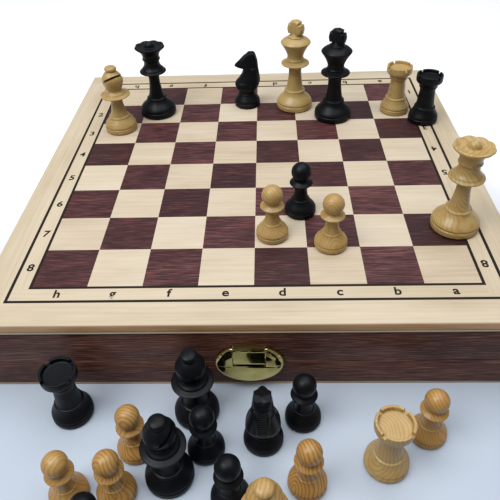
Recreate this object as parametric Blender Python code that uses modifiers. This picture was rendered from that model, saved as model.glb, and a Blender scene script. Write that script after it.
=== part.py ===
"""Wooden chess casket with its thirty-two Staunton men.

A shallow box whose lid is the chess board: a maple panel on a mahogany frame, hinged at the back
and closed by an oval brass clasp at the front. Eleven men stand on the board and twenty-one on the
table in front of it. Lengths are written in millimetres and turned into metres when a mesh is made.

X runs along the front of the box, Y towards its hinges, Z up. The origin is on the table under the
centre of the box.
"""
import math

import bmesh
import bpy
from mathutils import Matrix, Vector

MM = 0.001
GAP = 0.3                      # clearance left between pieces that touch

# Case
PANEL_HALF = 197.0             # half the side of the square board panel
WALL_HALF = 196.0              # half the outer side of the frame below it
WALL_THICKNESS = 9.0
BOTTOM_TOP = 1.8               # the bottom panel runs from the table to here
SEAM = 26.8                    # height of the split between lid and base
PANEL_UNDER = 57.3
PANEL_TOP = 67.0
PANEL_ROUNDING = 0.8

# Back hinges
HINGE_X = 120.0
HINGE_HALF = 15.0
HINGE_KNUCKLE = 5.0            # half the length of the lid leaf's knuckle
LEAF_THICKNESS = 1.2
LEAF_REACH = 12.0
BARREL_RADIUS = 2.2
PIN_RADIUS = 0.9
BORE_RADIUS = 1.2
HINGE_AXIS_Y = WALL_HALF + GAP + BARREL_RADIUS
SCREW_SHANK = 0.8
SCREW_LENGTH = 6.5
SCREW_HEAD = 1.9
SCREW_OFFSET_X = 9.5
SCREW_OFFSET_Z = 7.6

# Oval clasp
CLASP_X = -3.8
CLASP_HALF_WIDTH = 24.8
CLASP_HALF_HEIGHT = 19.4
CLASP_DEPTH = 5.6
CLASP_INSET = 1.3              # how much smaller the oval's front face is than its foot
CLASP_BACK = 1.3               # thickness of the back plate behind the flap
FLAP_HALF_WIDTH = 11.0
FLAP_SLOT = 11.7
FLAP_BOTTOM = 31.6
FLAP_THICKNESS = 1.2
FLAP_AXIS_OUT = 4.6            # distance of the flap's pivot from the wall
FLAP_AXIS_Z = 45.2
EAR_THICKNESS = 1.0
WALL_FRONT = -WALL_HALF

TURN_STEPS = 14                # facets round a turned man
SMALL_STEPS = 12               # facets round pins and barrels

# Finishes: class and colour are repeated in the record
WHITE_MEN = (0.62, 0.42, 0.17, 1.0)
BLACK_MEN = (0.012, 0.012, 0.014, 1.0)
MAPLE = (0.74, 0.58, 0.38, 1.0)
MAHOGANY = (0.045, 0.016, 0.011, 1.0)
BRASS = (0.60, 0.50, 0.24, 1.0)
PLYWOOD = (0.55, 0.38, 0.22, 1.0)

# Turned profiles, (radius, height) from the foot's centre to the top's centre
PAWN = [(0, 0), (11.8, 0), (12.6, 0.9), (12.6, 3.9), (11.8, 7.4), (7.4, 12.2), (5.6, 15.4), (5.0, 24.0),
        (9.2, 27.8), (9.0, 29.4), (5.7, 32.6), (7.7, 36.4), (7.5, 40.4), (4.6, 44.6), (0, 46.1)]
ROOK = [(0, 0), (13.8, 0), (14.5, 0.9), (14.5, 4.4), (13.6, 8.4), (10.2, 13.4), (10.2, 15.2), (8.6, 17.4),
        (7.4, 34.2), (8.7, 36.4), (12.5, 41.6), (12.5, 48.2), (10.7, 48.2), (10.3, 44.8), (0, 44.6)]
BISHOP = [(0, 0), (15.0, 0), (15.8, 0.9), (15.8, 4.6), (15.0, 8.4), (10.2, 13.8), (9.8, 16.0), (7.4, 19.4),
          (5.7, 32.6), (14.3, 36.6), (14.3, 38.0), (8.0, 41.2), (7.3, 43.8), (10.2, 51.6), (9.0, 56.6),
          (4.6, 61.2), (5.7, 63.2), (4.6, 65.2), (0, 65.9)]
QUEEN = [(0, 0), (17.5, 0), (18.4, 1.0), (18.4, 5.0), (17.6, 9.0), (11.4, 15.6), (9.8, 18.0), (7.4, 22.4),
         (5.5, 41.0), (13.2, 45.4), (13.2, 47.0), (9.4, 50.4), (7.6, 55.0), (8.8, 59.4), (9.6, 63.6),
         (14.7, 70.6), (12.2, 71.8), (5.2, 70.8), (3.6, 74.2), (0, 76.0)]
KING = [(0, 0), (17.7, 0), (18.6, 1.0), (18.6, 5.0), (17.6, 8.8), (12.2, 15.2), (10.4, 18.2), (7.9, 23.4),
        (6.6, 42.6), (14.2, 46.8), (14.2, 48.2), (8.6, 51.6), (7.8, 54.2), (14.8, 67.2), (15.0, 69.0),
        (8.6, 73.4), (4.2, 74.8), (4.0, 77.6), (0, 77.8)]
KNIGHT_FOOT = [(0, 0), (12.8, 0), (13.6, 0.9), (13.6, 4.2), (13.0, 8.0), (9.6, 12.0), (8.6, 14.6)]

# The knight's carved part: height, nose-side reach, mane-side reach, half width
KNIGHT_HEAD = [(16.6, -8.6, 9.4, 9.6), (20.4, -11.4, 11.8, 11.4), (24.6, -12.5, 13.5, 11.8),
               (30.0, -8.2, 13.0, 10.4), (35.2, -4.8, 12.4, 9.2), (39.0, -3.4, 12.1, 8.2),
               (41.2, -3.8, 12.0, 7.6), (42.2, -11.2, 11.9, 7.4), (44.0, -12.4, 11.8, 7.2),
               (47.6, -8.8, 11.4, 7.0), (50.4, -5.4, 11.0, 6.8), (53.6, -1.6, 10.1, 6.5), (55.8, 1.2, 8.8, 6.2)]

# The king's cross, drawn in its own plane about its centre
CROSS_CENTRE = 81.6
CROSS_HALF_DEPTH = 4.4
CROSS = [(-5.2, 7.4), (0.0, 8.4), (5.2, 7.4), (4.4, 4.4), (7.6, 5.0), (8.8, 0.0), (7.6, -5.0), (4.4, -4.6),
         (5.2, -6.6), (-5.2, -6.6), (-4.4, -4.6), (-7.6, -5.0), (-8.8, 0.0), (-7.6, 5.0), (-4.4, 4.4)]

# Rook's battlements and bishop's mitre slot
NOTCH_HALF = 1.3
NOTCH_FLOOR = 45.4
SLOT_HALF = 0.9
SLOT_LEAN = math.radians(-30.0)
SLOT_HEIGHT = 53.0

# Where each man stands: x, y, turn in degrees. The first list of a kind is on the board.
ON_BOARD = {
    "white_bishop": [(-138.8, 70.1, 45)],
    "black_queen": [(-105.1, 103.5, 0)],
    "black_knight": [(-10.5, 118.4, 0)],
    "white_king": [(39.8, 112.5, -35)],
    "black_king": [(78.2, 87.4, -32)],
    "white_rook": [(143.4, 97.8, 20)],
    "black_rook": [(168.2, 76.0, 28)],
    "white_queen": [(156.4, -96.1, 12)],
    "black_pawn": [(36.9, -74.8, 0)],
    "white_pawn": [(13.7, -105.0, 40), (57.9, -117.3, 110)],
}
ON_TABLE = {
    "black_rook": [(-130.2, -220.0, 51)],
    "black_bishop": [(-41.2, -219.8, 205), (-54.7, -267.2, 95)],
    "white_pawn": [(-79.9, -248.0, 15), (-117.2, -279.5, 70), (-87.0, -278.6, 130), (116.5, -237.0, 55),
                   (33.5, -272.0, 95), (104.0, -339.0, 20)],
    "black_pawn": [(-32.6, -248.3, 0), (-94.5, -304.3, 0), (33.2, -224.8, 0), (-14.8, -281.4, 0),
                   (-138.0, -333.0, 0), (-18.0, -341.0, 0), (40.0, -336.0, 0)],
    "black_knight": [(5.7, -241.1, -90)],
    "white_rook": [(85.4, -258.3, 47)],
    "white_bishop": [(6.9, -305.5, 150)],
    "white_knight": [(-58.0, -348.0, 20), (72.0, -352.0, 160)],
}


def material(name, colour, metallic, roughness):
    """A plain Principled material."""
    made = bpy.data.materials.new(name)
    made.use_nodes = True
    shader = made.node_tree.nodes["Principled BSDF"]
    shader.inputs["Base Color"].default_value = colour
    shader.inputs["Metallic"].default_value = metallic
    shader.inputs["Roughness"].default_value = roughness
    made.diffuse_color = colour
    return made


def make_mesh(name, points, faces):
    """A mesh in metres from points in millimetres, with its faces turned outwards."""
    work = bmesh.new()
    corners = [work.verts.new(Vector(point) * MM) for point in points]
    for face in faces:
        work.faces.new([corners[index] for index in face])
    bmesh.ops.recalc_face_normals(work, faces=work.faces)
    mesh = bpy.data.meshes.new(name)
    work.to_mesh(mesh)
    work.free()
    return mesh


def stacked(name, rings, tip_low=None, tip_high=None):
    """A closed skin over a stack of rings with equal point counts, each end a point or a flat cap."""
    points = [corner for ring in rings for corner in ring]
    count = len(rings[0])
    faces = []
    for level in range(len(rings) - 1):
        for step in range(count):
            after = (step + 1) % count
            low, high = level * count, (level + 1) * count
            faces.append((low + step, low + after, high + after, high + step))
    last = (len(rings) - 1) * count
    for tip, start in ((tip_low, 0), (tip_high, last)):
        if tip is None:
            faces.append(tuple(range(start, start + count)))
            continue
        points.append(tip)
        for step in range(count):
            faces.append((start + step, start + (step + 1) % count, len(points) - 1))
    return make_mesh(name, points, faces)


def turned(name, profile, steps=TURN_STEPS):
    """A solid of revolution about Z. A profile end off the axis becomes a flat cap."""
    tips = [(0, 0, profile[end][1]) if profile[end][0] == 0 else None for end in (0, -1)]
    inner = [point for point in profile if point[0] > 0]
    rings = []
    for radius, height in inner:
        rings.append([(radius * math.cos(math.tau * step / steps), radius * math.sin(math.tau * step / steps),
                       height) for step in range(steps)])
    return stacked(name, rings, *tips)


def block(name, low, high):
    """A box between two opposite corners."""
    rings = [[(low[0], low[1], z), (high[0], low[1], z), (high[0], high[1], z), (low[0], high[1], z)]
             for z in (low[2], high[2])]
    return stacked(name, rings)


def rod(name, centre, radius, half_length, steps=SMALL_STEPS):
    """A round rod along X."""
    rings = [[(centre[0] + side * half_length, centre[1] + radius * math.cos(math.tau * step / steps),
               centre[2] + radius * math.sin(math.tau * step / steps)) for step in range(steps)]
             for side in (-1, 1)]
    return stacked(name, rings)


def prism(name, outline, axis, low, high):
    """An outline pushed straight along X or Y. Outline points are the other two coordinates."""
    def place(point, along):
        return (along, point[0], point[1]) if axis == "X" else (point[0], along, point[1])
    return stacked(name, [[place(point, along) for point in outline] for along in (low, high)])


def combine(first, others, operation):
    """The result of an exact Boolean of one mesh with each of the others in turn."""
    for other in others:
        body = bpy.data.objects.new("body", first)
        tool = bpy.data.objects.new("tool", other)
        for item in (body, tool):
            bpy.context.scene.collection.objects.link(item)
        step = body.modifiers.new("combine", "BOOLEAN")
        step.operation = operation
        step.solver = "EXACT"
        step.object = tool
        bpy.context.view_layer.update()
        evaluated = body.evaluated_get(bpy.context.evaluated_depsgraph_get())
        result = bpy.data.meshes.new_from_object(evaluated)
        for item in (body, tool):
            bpy.data.objects.remove(item)
        for mesh in (first, other):
            bpy.data.meshes.remove(mesh)
        first = result
    return first


def add_part(name, mesh, finish, location=(0, 0, 0), turn=0.0):
    """Put a mesh in the scene as one named piece."""
    mesh.name = name
    mesh.materials.clear()
    mesh.materials.append(finish)
    part = bpy.data.objects.new(name, mesh)
    part.location = Vector(location) * MM
    part.rotation_euler = (0.0, 0.0, math.radians(turn))
    bpy.context.scene.collection.objects.link(part)
    return part


def build_rails(prefix, low, high, finish, back_holes):
    """Four mitred rails of one frame; the back one is drilled for the hinge screws."""
    outer, inner = WALL_HALF, WALL_HALF - WALL_THICKNESS
    trim = GAP / math.sqrt(2.0)
    outline = [(-outer + trim, -outer), (outer - trim, -outer), (inner - trim, -inner), (-inner + trim, -inner)]
    for quarter, side in enumerate(("front", "right", "back", "left")):
        spin = Matrix.Rotation(math.radians(90.0 * quarter), 3, "Z")
        rings = [[tuple(spin @ Vector((x, y, z))) for x, y in outline] for z in (low, high)]
        mesh = stacked(prefix + side, rings)
        if side == "back":
            mesh = combine(mesh, [screw_hole(x, z) for x, z in back_holes], "DIFFERENCE")
        add_part(prefix + side, mesh, finish)


def screw_hole(x, z):
    """A clearance drill for a hinge screw, entering the back wall from behind."""
    radius = SCREW_SHANK + GAP
    rings = [[(x + radius * math.cos(math.tau * step / SMALL_STEPS), y,
               z + radius * math.sin(math.tau * step / SMALL_STEPS)) for step in range(SMALL_STEPS)]
             for y in (WALL_HALF - SCREW_LENGTH + 1.0, WALL_HALF + 4.0)]
    return stacked("hole", rings)


def screw_places(side):
    """Where the hinge screws stand: side is +1 above the seam and -1 below it."""
    return [(hinge * HINGE_X + across * SCREW_OFFSET_X, SEAM + side * SCREW_OFFSET_Z)
            for hinge in (-1, 1) for across in (-1, 1)]


def build_leaf(name, centre, side, knuckles, finish):
    """One hinge leaf: a plate, tongues down to its knuckles, and a common bore."""
    near, far = WALL_HALF + GAP, WALL_HALF + GAP + LEAF_THICKNESS
    edges = sorted((SEAM + side * (BARREL_RADIUS + 0.4), SEAM + side * LEAF_REACH))
    mesh = block(name, (centre - HINGE_HALF, near, edges[0]), (centre + HINGE_HALF, far, edges[1]))
    extras = []
    for low, high in knuckles:
        levels = sorted((SEAM + side * 0.5, SEAM + side * (BARREL_RADIUS + 0.9)))
        extras.append(block("tongue", (centre + low, near, levels[0]), (centre + high, far, levels[1])))
        middle, half = (low + high) / 2, (high - low) / 2
        extras.append(rod("knuckle", (centre + middle, HINGE_AXIS_Y, SEAM), BARREL_RADIUS, half))
    mesh = combine(mesh, extras, "UNION")
    drills = [rod("bore", (centre, HINGE_AXIS_Y, SEAM), BORE_RADIUS, HINGE_HALF + 2.0)]
    drills += [screw_hole(x, z) for x, z in screw_places(side) if abs(x - centre) < HINGE_HALF]
    add_part(name, combine(mesh, drills, "DIFFERENCE"), finish)


def build_hinges(finish):
    """Two butt hinges on the back wall, with their pins and screws."""
    inner, outer = HINGE_KNUCKLE, HINGE_HALF
    for label, centre in (("left", -HINGE_X), ("right", HINGE_X)):
        build_leaf(f"hinge_{label}_lid_leaf", centre, 1, [(-inner, inner)], finish)
        build_leaf(f"hinge_{label}_base_leaf", centre, -1,
                   [(-outer, -inner - GAP), (inner + GAP, outer)], finish)
        add_part(f"hinge_{label}_pin", rod("pin", (centre, HINGE_AXIS_Y, SEAM), PIN_RADIUS, HINGE_HALF + 0.6),
                 finish)
    shape = [(SCREW_SHANK, -SCREW_LENGTH + 2.0), (SCREW_SHANK, LEAF_THICKNESS + 2 * GAP),
             (SCREW_HEAD, LEAF_THICKNESS + 2 * GAP), (SCREW_HEAD * 0.7, LEAF_THICKNESS + 1.5)]
    for number, (x, z) in enumerate(screw_places(1) + screw_places(-1), 1):
        mesh = turned("screw", shape, SMALL_STEPS)
        mesh.transform(Matrix.Rotation(math.radians(-90.0), 4, "X"))
        add_part(f"hinge_screw_{number}", mesh, finish, (x, WALL_HALF, z))


def half_oval(name, side, low_edge):
    """Half of the clasp's oval shell, domed towards the front; side is +1 above the seam."""
    steps = 16
    rings = []
    for out, inset in ((GAP, 0.0), (CLASP_DEPTH - 1.4, 0.5), (CLASP_DEPTH, CLASP_INSET)):
        ring = []
        for step in range(steps + 1):
            angle = math.pi * step / steps
            ring.append((CLASP_X + (CLASP_HALF_WIDTH - inset) * math.cos(angle), WALL_FRONT - out,
                         low_edge + side * (CLASP_HALF_HEIGHT - inset) * math.sin(angle)))
        rings.append(ring)
    return stacked(name, rings)


def build_clasp(finish):
    """The oval clasp: plate and flap on the lid, catch plate on the base, and the flap's pin."""
    axis_y = WALL_FRONT - FLAP_AXIS_OUT
    upper = half_oval("clasp_lid_plate", 1, SEAM + GAP / 2)
    slot = block("slot", (CLASP_X - FLAP_SLOT, WALL_FRONT - 20, SEAM - 2),
                 (CLASP_X + FLAP_SLOT, WALL_FRONT - CLASP_BACK, SEAM + 40))
    upper = combine(upper, [slot], "DIFFERENCE")
    reach = BARREL_RADIUS
    ear = [(WALL_FRONT - GAP, 36.0), (WALL_FRONT - CLASP_DEPTH + 0.4, 36.0), (axis_y - reach, FLAP_AXIS_Z - 1.0),
           (axis_y - reach, FLAP_AXIS_Z + 0.8), (axis_y - 0.9, FLAP_AXIS_Z + reach),
           (axis_y + 0.9, FLAP_AXIS_Z + reach), (WALL_FRONT - GAP, FLAP_AXIS_Z - 0.6)]
    ears = []
    for side in (-1, 1):
        ends = sorted((CLASP_X + side * FLAP_SLOT, CLASP_X + side * (FLAP_SLOT + EAR_THICKNESS)))
        ears.append(prism("ear", ear, "X", *ends))
    upper = combine(upper, ears, "UNION")
    bore = rod("bore", (CLASP_X, axis_y, FLAP_AXIS_Z), BORE_RADIUS, FLAP_SLOT + EAR_THICKNESS + 2)
    add_part("clasp_lid_plate", combine(upper, [bore], "DIFFERENCE"), finish)
    add_part("clasp_base_plate", half_oval("clasp_base_plate", -1, SEAM - GAP / 2), finish)

    barrel = rod("clasp_flap", (CLASP_X, axis_y, FLAP_AXIS_Z), BARREL_RADIUS, FLAP_HALF_WIDTH)
    front = axis_y - BARREL_RADIUS
    plate = block("plate", (CLASP_X - FLAP_HALF_WIDTH, front, FLAP_BOTTOM),
                  (CLASP_X + FLAP_HALF_WIDTH, front + FLAP_THICKNESS, FLAP_AXIS_Z))
    flap = combine(barrel, [plate], "UNION")
    bore = rod("bore", (CLASP_X, axis_y, FLAP_AXIS_Z), BORE_RADIUS, FLAP_HALF_WIDTH + 2)
    add_part("clasp_flap", combine(flap, [bore], "DIFFERENCE"), finish)
    pin_half = FLAP_SLOT + EAR_THICKNESS + 0.4
    add_part("clasp_pin", rod("pin", (CLASP_X, axis_y, FLAP_AXIS_Z), PIN_RADIUS, pin_half), finish)


def rook_mesh():
    """Turned tower with four notches across its rim."""
    half, reach, low, high = NOTCH_HALF, 20.0, NOTCH_FLOOR, 60.0
    plus = [(half, -reach), (half, -half), (reach, -half), (reach, half), (half, half), (half, reach),
            (-half, reach), (-half, half), (-reach, half), (-reach, -half), (-half, -half), (-half, -reach)]
    cutter = stacked("notches", [[(x, y, z) for x, y in plus] for z in (low, high)])
    return combine(turned("rook", ROOK), [cutter], "DIFFERENCE")


def bishop_mesh():
    """Turned bishop with a slanting saw cut in its mitre, entering from -Y."""
    cutter = block("slot", (-16, -16, -SLOT_HALF), (16, -0.5, SLOT_HALF))
    cutter.transform(Matrix.Translation(Vector((0, 0, SLOT_HEIGHT * MM))) @ Matrix.Rotation(SLOT_LEAN, 4, "X"))
    return combine(turned("bishop", BISHOP), [cutter], "DIFFERENCE")


def king_mesh():
    """Turned king with a broad cross on a short neck."""
    outline = [(x, CROSS_CENTRE + z) for x, z in CROSS]
    cross = prism("cross", outline, "Y", -CROSS_HALF_DEPTH, CROSS_HALF_DEPTH)
    return combine(turned("king", KING), [cross], "UNION")


def knight_mesh():
    """A turned foot that rises into a carved horse's head looking towards -X."""
    rings = []
    for radius, height in KNIGHT_FOOT[1:]:
        rings.append([(radius * math.cos(math.tau * step / TURN_STEPS),
                       radius * math.sin(math.tau * step / TURN_STEPS), height) for step in range(TURN_STEPS)])
    for height, nose, mane, half_width in KNIGHT_HEAD:
        middle, reach = (nose + mane) / 2, (mane - nose) / 2
        ring = []
        for step in range(TURN_STEPS):
            angle = math.tau * step / TURN_STEPS
            across = math.copysign(abs(math.sin(angle)) ** 0.7, math.sin(angle))
            along = math.copysign(abs(math.cos(angle)) ** 0.8, math.cos(angle))
            ring.append((middle + reach * along, half_width * across, height))
        rings.append(ring)
    return stacked("knight", rings, (0, 0, 0), (5.0, 0, 56.3))


def man_mesh(kind):
    """The mesh of one kind of man."""
    carved = {"rook": rook_mesh, "bishop": bishop_mesh, "king": king_mesh, "knight": knight_mesh}
    if kind in carved:
        return carved[kind]()
    return turned(kind, {"pawn": PAWN, "queen": QUEEN}[kind])


def build_men(finishes):
    """Every man in its place: those on the board first, then those on the table."""
    counts = {}
    for places, level in ((ON_BOARD, PANEL_TOP + GAP), (ON_TABLE, 0.0)):
        for label, spots in places.items():
            colour, kind = label.split("_")
            for x, y, turn in spots:
                counts[label] = counts.get(label, 0) + 1
                single = kind in ("king", "queen")
                name = label if single else f"{label}_{counts[label]}"
                add_part(name, man_mesh(kind), finishes[colour], (x, y, level), turn)


def build_case(maple, mahogany, plywood):
    """Board panel, the two mitred frames and the bottom."""
    panel = add_part("board_panel", block("board_panel", (-PANEL_HALF, -PANEL_HALF, PANEL_UNDER),
                                          (PANEL_HALF, PANEL_HALF, PANEL_TOP)), maple)
    rounding = panel.modifiers.new("rounding", "BEVEL")
    rounding.width = PANEL_ROUNDING * MM
    rounding.segments = 1
    build_rails("lid_rail_", SEAM + GAP / 2, PANEL_UNDER - GAP, mahogany, screw_places(1))
    build_rails("base_rail_", BOTTOM_TOP + GAP, SEAM - GAP / 2, mahogany, screw_places(-1))
    add_part("bottom_panel", block("bottom_panel", (-WALL_HALF, -WALL_HALF, 0), (WALL_HALF, WALL_HALF, BOTTOM_TOP)),
             plywood)


def main():
    """Build the whole set in an empty scene."""
    for item in list(bpy.data.objects):
        bpy.data.objects.remove(item)
    maple = material("maple_veneer", MAPLE, 0.0, 0.4)
    mahogany = material("mahogany_veneer", MAHOGANY, 0.0, 0.35)
    plywood = material("birch_plywood", PLYWOOD, 0.0, 0.5)
    brass = material("polished_brass", BRASS, 1.0, 0.2)
    finishes = {"white": material("boxwood_lacquered", WHITE_MEN, 0.0, 0.3),
                "black": material("black_lacquer", BLACK_MEN, 0.0, 0.25)}
    build_case(maple, mahogany, plywood)
    build_hinges(brass)
    build_clasp(brass)
    build_men(finishes)


main()
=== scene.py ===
"""Chess casket with its thirty-two Staunton men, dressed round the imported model.

The casket is a maple and mahogany veneered board panel on two mitred frames, hinged at the back and
closed in front by an oval brass clasp. Eleven men stand on the board and twenty-one on the table.
Sizes are written in millimetres; meshes are in metres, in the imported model's own frame: X along the
front, Y towards the hinges, Z up, with the origin on the table under the casket's centre.
"""
import logging
import math
from dataclasses import dataclass
from enum import Enum

import bpy
import numpy as np
from mathutils import Matrix, Vector


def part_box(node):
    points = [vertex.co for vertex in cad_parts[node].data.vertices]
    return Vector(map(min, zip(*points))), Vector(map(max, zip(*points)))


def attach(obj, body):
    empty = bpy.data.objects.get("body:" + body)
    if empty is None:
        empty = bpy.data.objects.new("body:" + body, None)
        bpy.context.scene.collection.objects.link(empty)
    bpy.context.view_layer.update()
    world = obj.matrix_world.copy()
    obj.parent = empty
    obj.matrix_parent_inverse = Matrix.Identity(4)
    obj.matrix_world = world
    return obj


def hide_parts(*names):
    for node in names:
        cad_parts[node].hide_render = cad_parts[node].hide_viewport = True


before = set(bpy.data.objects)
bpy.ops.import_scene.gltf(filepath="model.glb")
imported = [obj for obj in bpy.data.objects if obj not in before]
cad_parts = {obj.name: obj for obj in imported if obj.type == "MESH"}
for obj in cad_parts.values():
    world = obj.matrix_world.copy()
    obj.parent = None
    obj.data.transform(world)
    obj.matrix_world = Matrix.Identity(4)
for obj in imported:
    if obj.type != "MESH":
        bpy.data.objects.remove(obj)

LOG = logging.getLogger("chess_casket")
MM = 0.001
MIX_FACTOR, MIX_A, MIX_B, MIX_RESULT = 0, 6, 7, 2      # sockets of a Mix node set to colour
SECOND = 1                                             # a Math or Vector Math node's second input
TAU = math.tau

Array = np.ndarray
Colour = tuple[float, float, float, float]


# ---------------------------------------------------------------------------------------------
# Finishes
# ---------------------------------------------------------------------------------------------
def srgb(code: str) -> Colour:
    """Turn an sRGB hex code into linear colour.

    Args:
        code: Six hex digits after a hash.

    Returns:
        Linear red, green, blue and full alpha.
    """
    shares = [int(code[start:start + 2], 16) / 255 for start in (1, 3, 5)]
    red, green, blue = (share / 12.92 if share <= 0.04045 else ((share + 0.055) / 1.055) ** 2.4
                        for share in shares)
    return red, green, blue, 1.0


def add_node(tree: bpy.types.NodeTree, kind: str, settings: dict | None = None, inputs: dict | None = None,
             stops: list[tuple[float, Colour]] | None = None) -> bpy.types.Node:
    """Add one node with its settings, values and links.

    Args:
        tree: The node tree that gets it.
        kind: Blender's node type.
        settings: Properties to set on the node.
        inputs: Socket name or index against a value, or against an output socket to link.
        stops: Positions and colours of a colour ramp.

    Returns:
        The new node.
    """
    made = tree.nodes.new(kind)
    for key, value in (settings or {}).items():
        setattr(made, key, value)
    for key, value in (inputs or {}).items():
        if isinstance(value, bpy.types.NodeSocket):
            tree.links.new(value, made.inputs[key])
        else:
            made.inputs[key].default_value = value
    if stops:
        elements = made.color_ramp.elements
        while len(elements) < len(stops):
            elements.new(1.0)
        for element, (place, colour) in zip(elements, stops):
            element.position, element.color = place, colour
    return made


@dataclass(frozen=True)
class Finish:
    """A material built from nodes around one Principled shader.

    Attributes:
        name: The material's name: what it is and how its surface was made.
        roughness: Microscopic roughness of the surface itself.
        coat: Weight of the clear lacquer over it.
        coat_roughness: Roughness of that lacquer.
        specular: Level of the body's own mirror reflection.
    """

    name: str
    roughness: float = 0.4
    coat: float = 0.0
    coat_roughness: float = 0.1
    specular: float = 0.5

    def start(self) -> tuple[bpy.types.Material, bpy.types.NodeTree, bpy.types.Node]:
        """Make the material with its shader's constant sockets set.

        Returns:
            The material, its node tree and its shader.
        """
        made = bpy.data.materials.new(self.name)
        made.use_nodes = True
        tree = made.node_tree
        shader = tree.nodes["Principled BSDF"]
        shader.inputs["Roughness"].default_value = self.roughness
        shader.inputs["Coat Weight"].default_value = self.coat
        shader.inputs["Coat Roughness"].default_value = self.coat_roughness
        shader.inputs["Specular IOR Level"].default_value = self.specular
        return made, tree, shader

    def build(self) -> bpy.types.Material:
        """Make the material; each finish adds its own pattern."""
        return self.start()[0]


@dataclass(frozen=True)
class Veneer(Finish):
    """Sliced veneer: long fibres along the grain attribute's first axis, under satin lacquer.

    The eye gets fine streaks that run one way, cloudier bands a finger wide, and leaf-to-leaf
    differences of tone.

    Attributes:
        pale: Colour of the softest early wood.
        middle: Body colour.
        dark: Colour of the dense streaks and pores.
        streak_width: Spacing of the streaks across the grain, in mm.
        streak_length: Their length along the grain, in mm.
        cloud: Size of the cloudy bands, in mm.
        contrast: Share of the ramp that the streaks sweep.
        cloudiness: Share of the ramp that the cloudy bands sweep.
        tone_range: How much one leaf differs from the next.
        pore_depth: Depth of the open pores, in mm.
    """

    pale: str = "#ffffff"
    middle: str = "#cccccc"
    dark: str = "#888888"
    streak_width: float = 1.6
    streak_length: float = 70.0
    cloud: float = 22.0
    contrast: float = 0.5
    cloudiness: float = 0.4
    tone_range: float = 0.3
    pore_depth: float = 0.03

    def build(self) -> bpy.types.Material:
        """Make the veneer from two stretched noises and a leaf tone.

        Returns:
            The material.
        """
        made, tree, shader = self.start()
        grain = add_node(tree, "ShaderNodeAttribute", {"attribute_name": "grain"})
        look = add_node(tree, "ShaderNodeAttribute", {"attribute_name": "look"})
        leaf = add_node(tree, "ShaderNodeSeparateXYZ", None, {0: look.outputs["Vector"]})
        across = 1.0 / self.streak_width
        fine = add_node(tree, "ShaderNodeMapping", None,
                        {"Vector": grain.outputs["Vector"], "Scale": (1 / self.streak_length, across,
                         across)})
        streaks = add_node(tree, "ShaderNodeTexNoise", None,
                           {"Vector": fine.outputs[0], "Scale": 1.0, "Detail": 5.0, "Roughness": 0.62,
                            "Distortion": 0.25})
        broad = add_node(tree, "ShaderNodeMapping", None,
                         {"Vector": grain.outputs["Vector"],
                          "Scale": (0.35 / self.cloud, 1 / self.cloud, 1 / self.cloud)})
        clouds = add_node(tree, "ShaderNodeTexNoise", None,
                          {"Vector": broad.outputs[0], "Scale": 1.0, "Detail": 3.0, "Roughness": 0.5})
        swing = add_node(tree, "ShaderNodeMapRange", None,
                         {"Value": streaks.outputs[0], "From Min": 0.28, "From Max": 0.72,
                          "To Min": 0.5 - self.contrast / 2, "To Max": 0.5 + self.contrast / 2})
        drift = add_node(tree, "ShaderNodeMapRange", None,
                         {"Value": clouds.outputs[0], "From Min": 0.3, "From Max": 0.7,
                          "To Min": -0.5 * self.cloudiness, "To Max": 0.5 * self.cloudiness})
        both = add_node(tree, "ShaderNodeMath", {"operation": "ADD"},
                        {0: swing.outputs[0], SECOND: drift.outputs[0]})
        shift = add_node(tree, "ShaderNodeMath", {"operation": "MULTIPLY_ADD"},
                         {0: leaf.outputs[0], SECOND: self.tone_range, 2: both.outputs[0]})
        colour = add_node(tree, "ShaderNodeValToRGB", None, {"Fac": shift.outputs[0]},
                          [(0.0, srgb(self.pale)), (0.5, srgb(self.middle)), (1.0, srgb(self.dark))])
        tree.links.new(colour.outputs[0], shader.inputs["Base Color"])
        raised = add_node(tree, "ShaderNodeBump", None,
                          {"Distance": self.pore_depth * MM, "Height": streaks.outputs[0]})
        tree.links.new(raised.outputs["Normal"], shader.inputs["Normal"])
        return made


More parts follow.
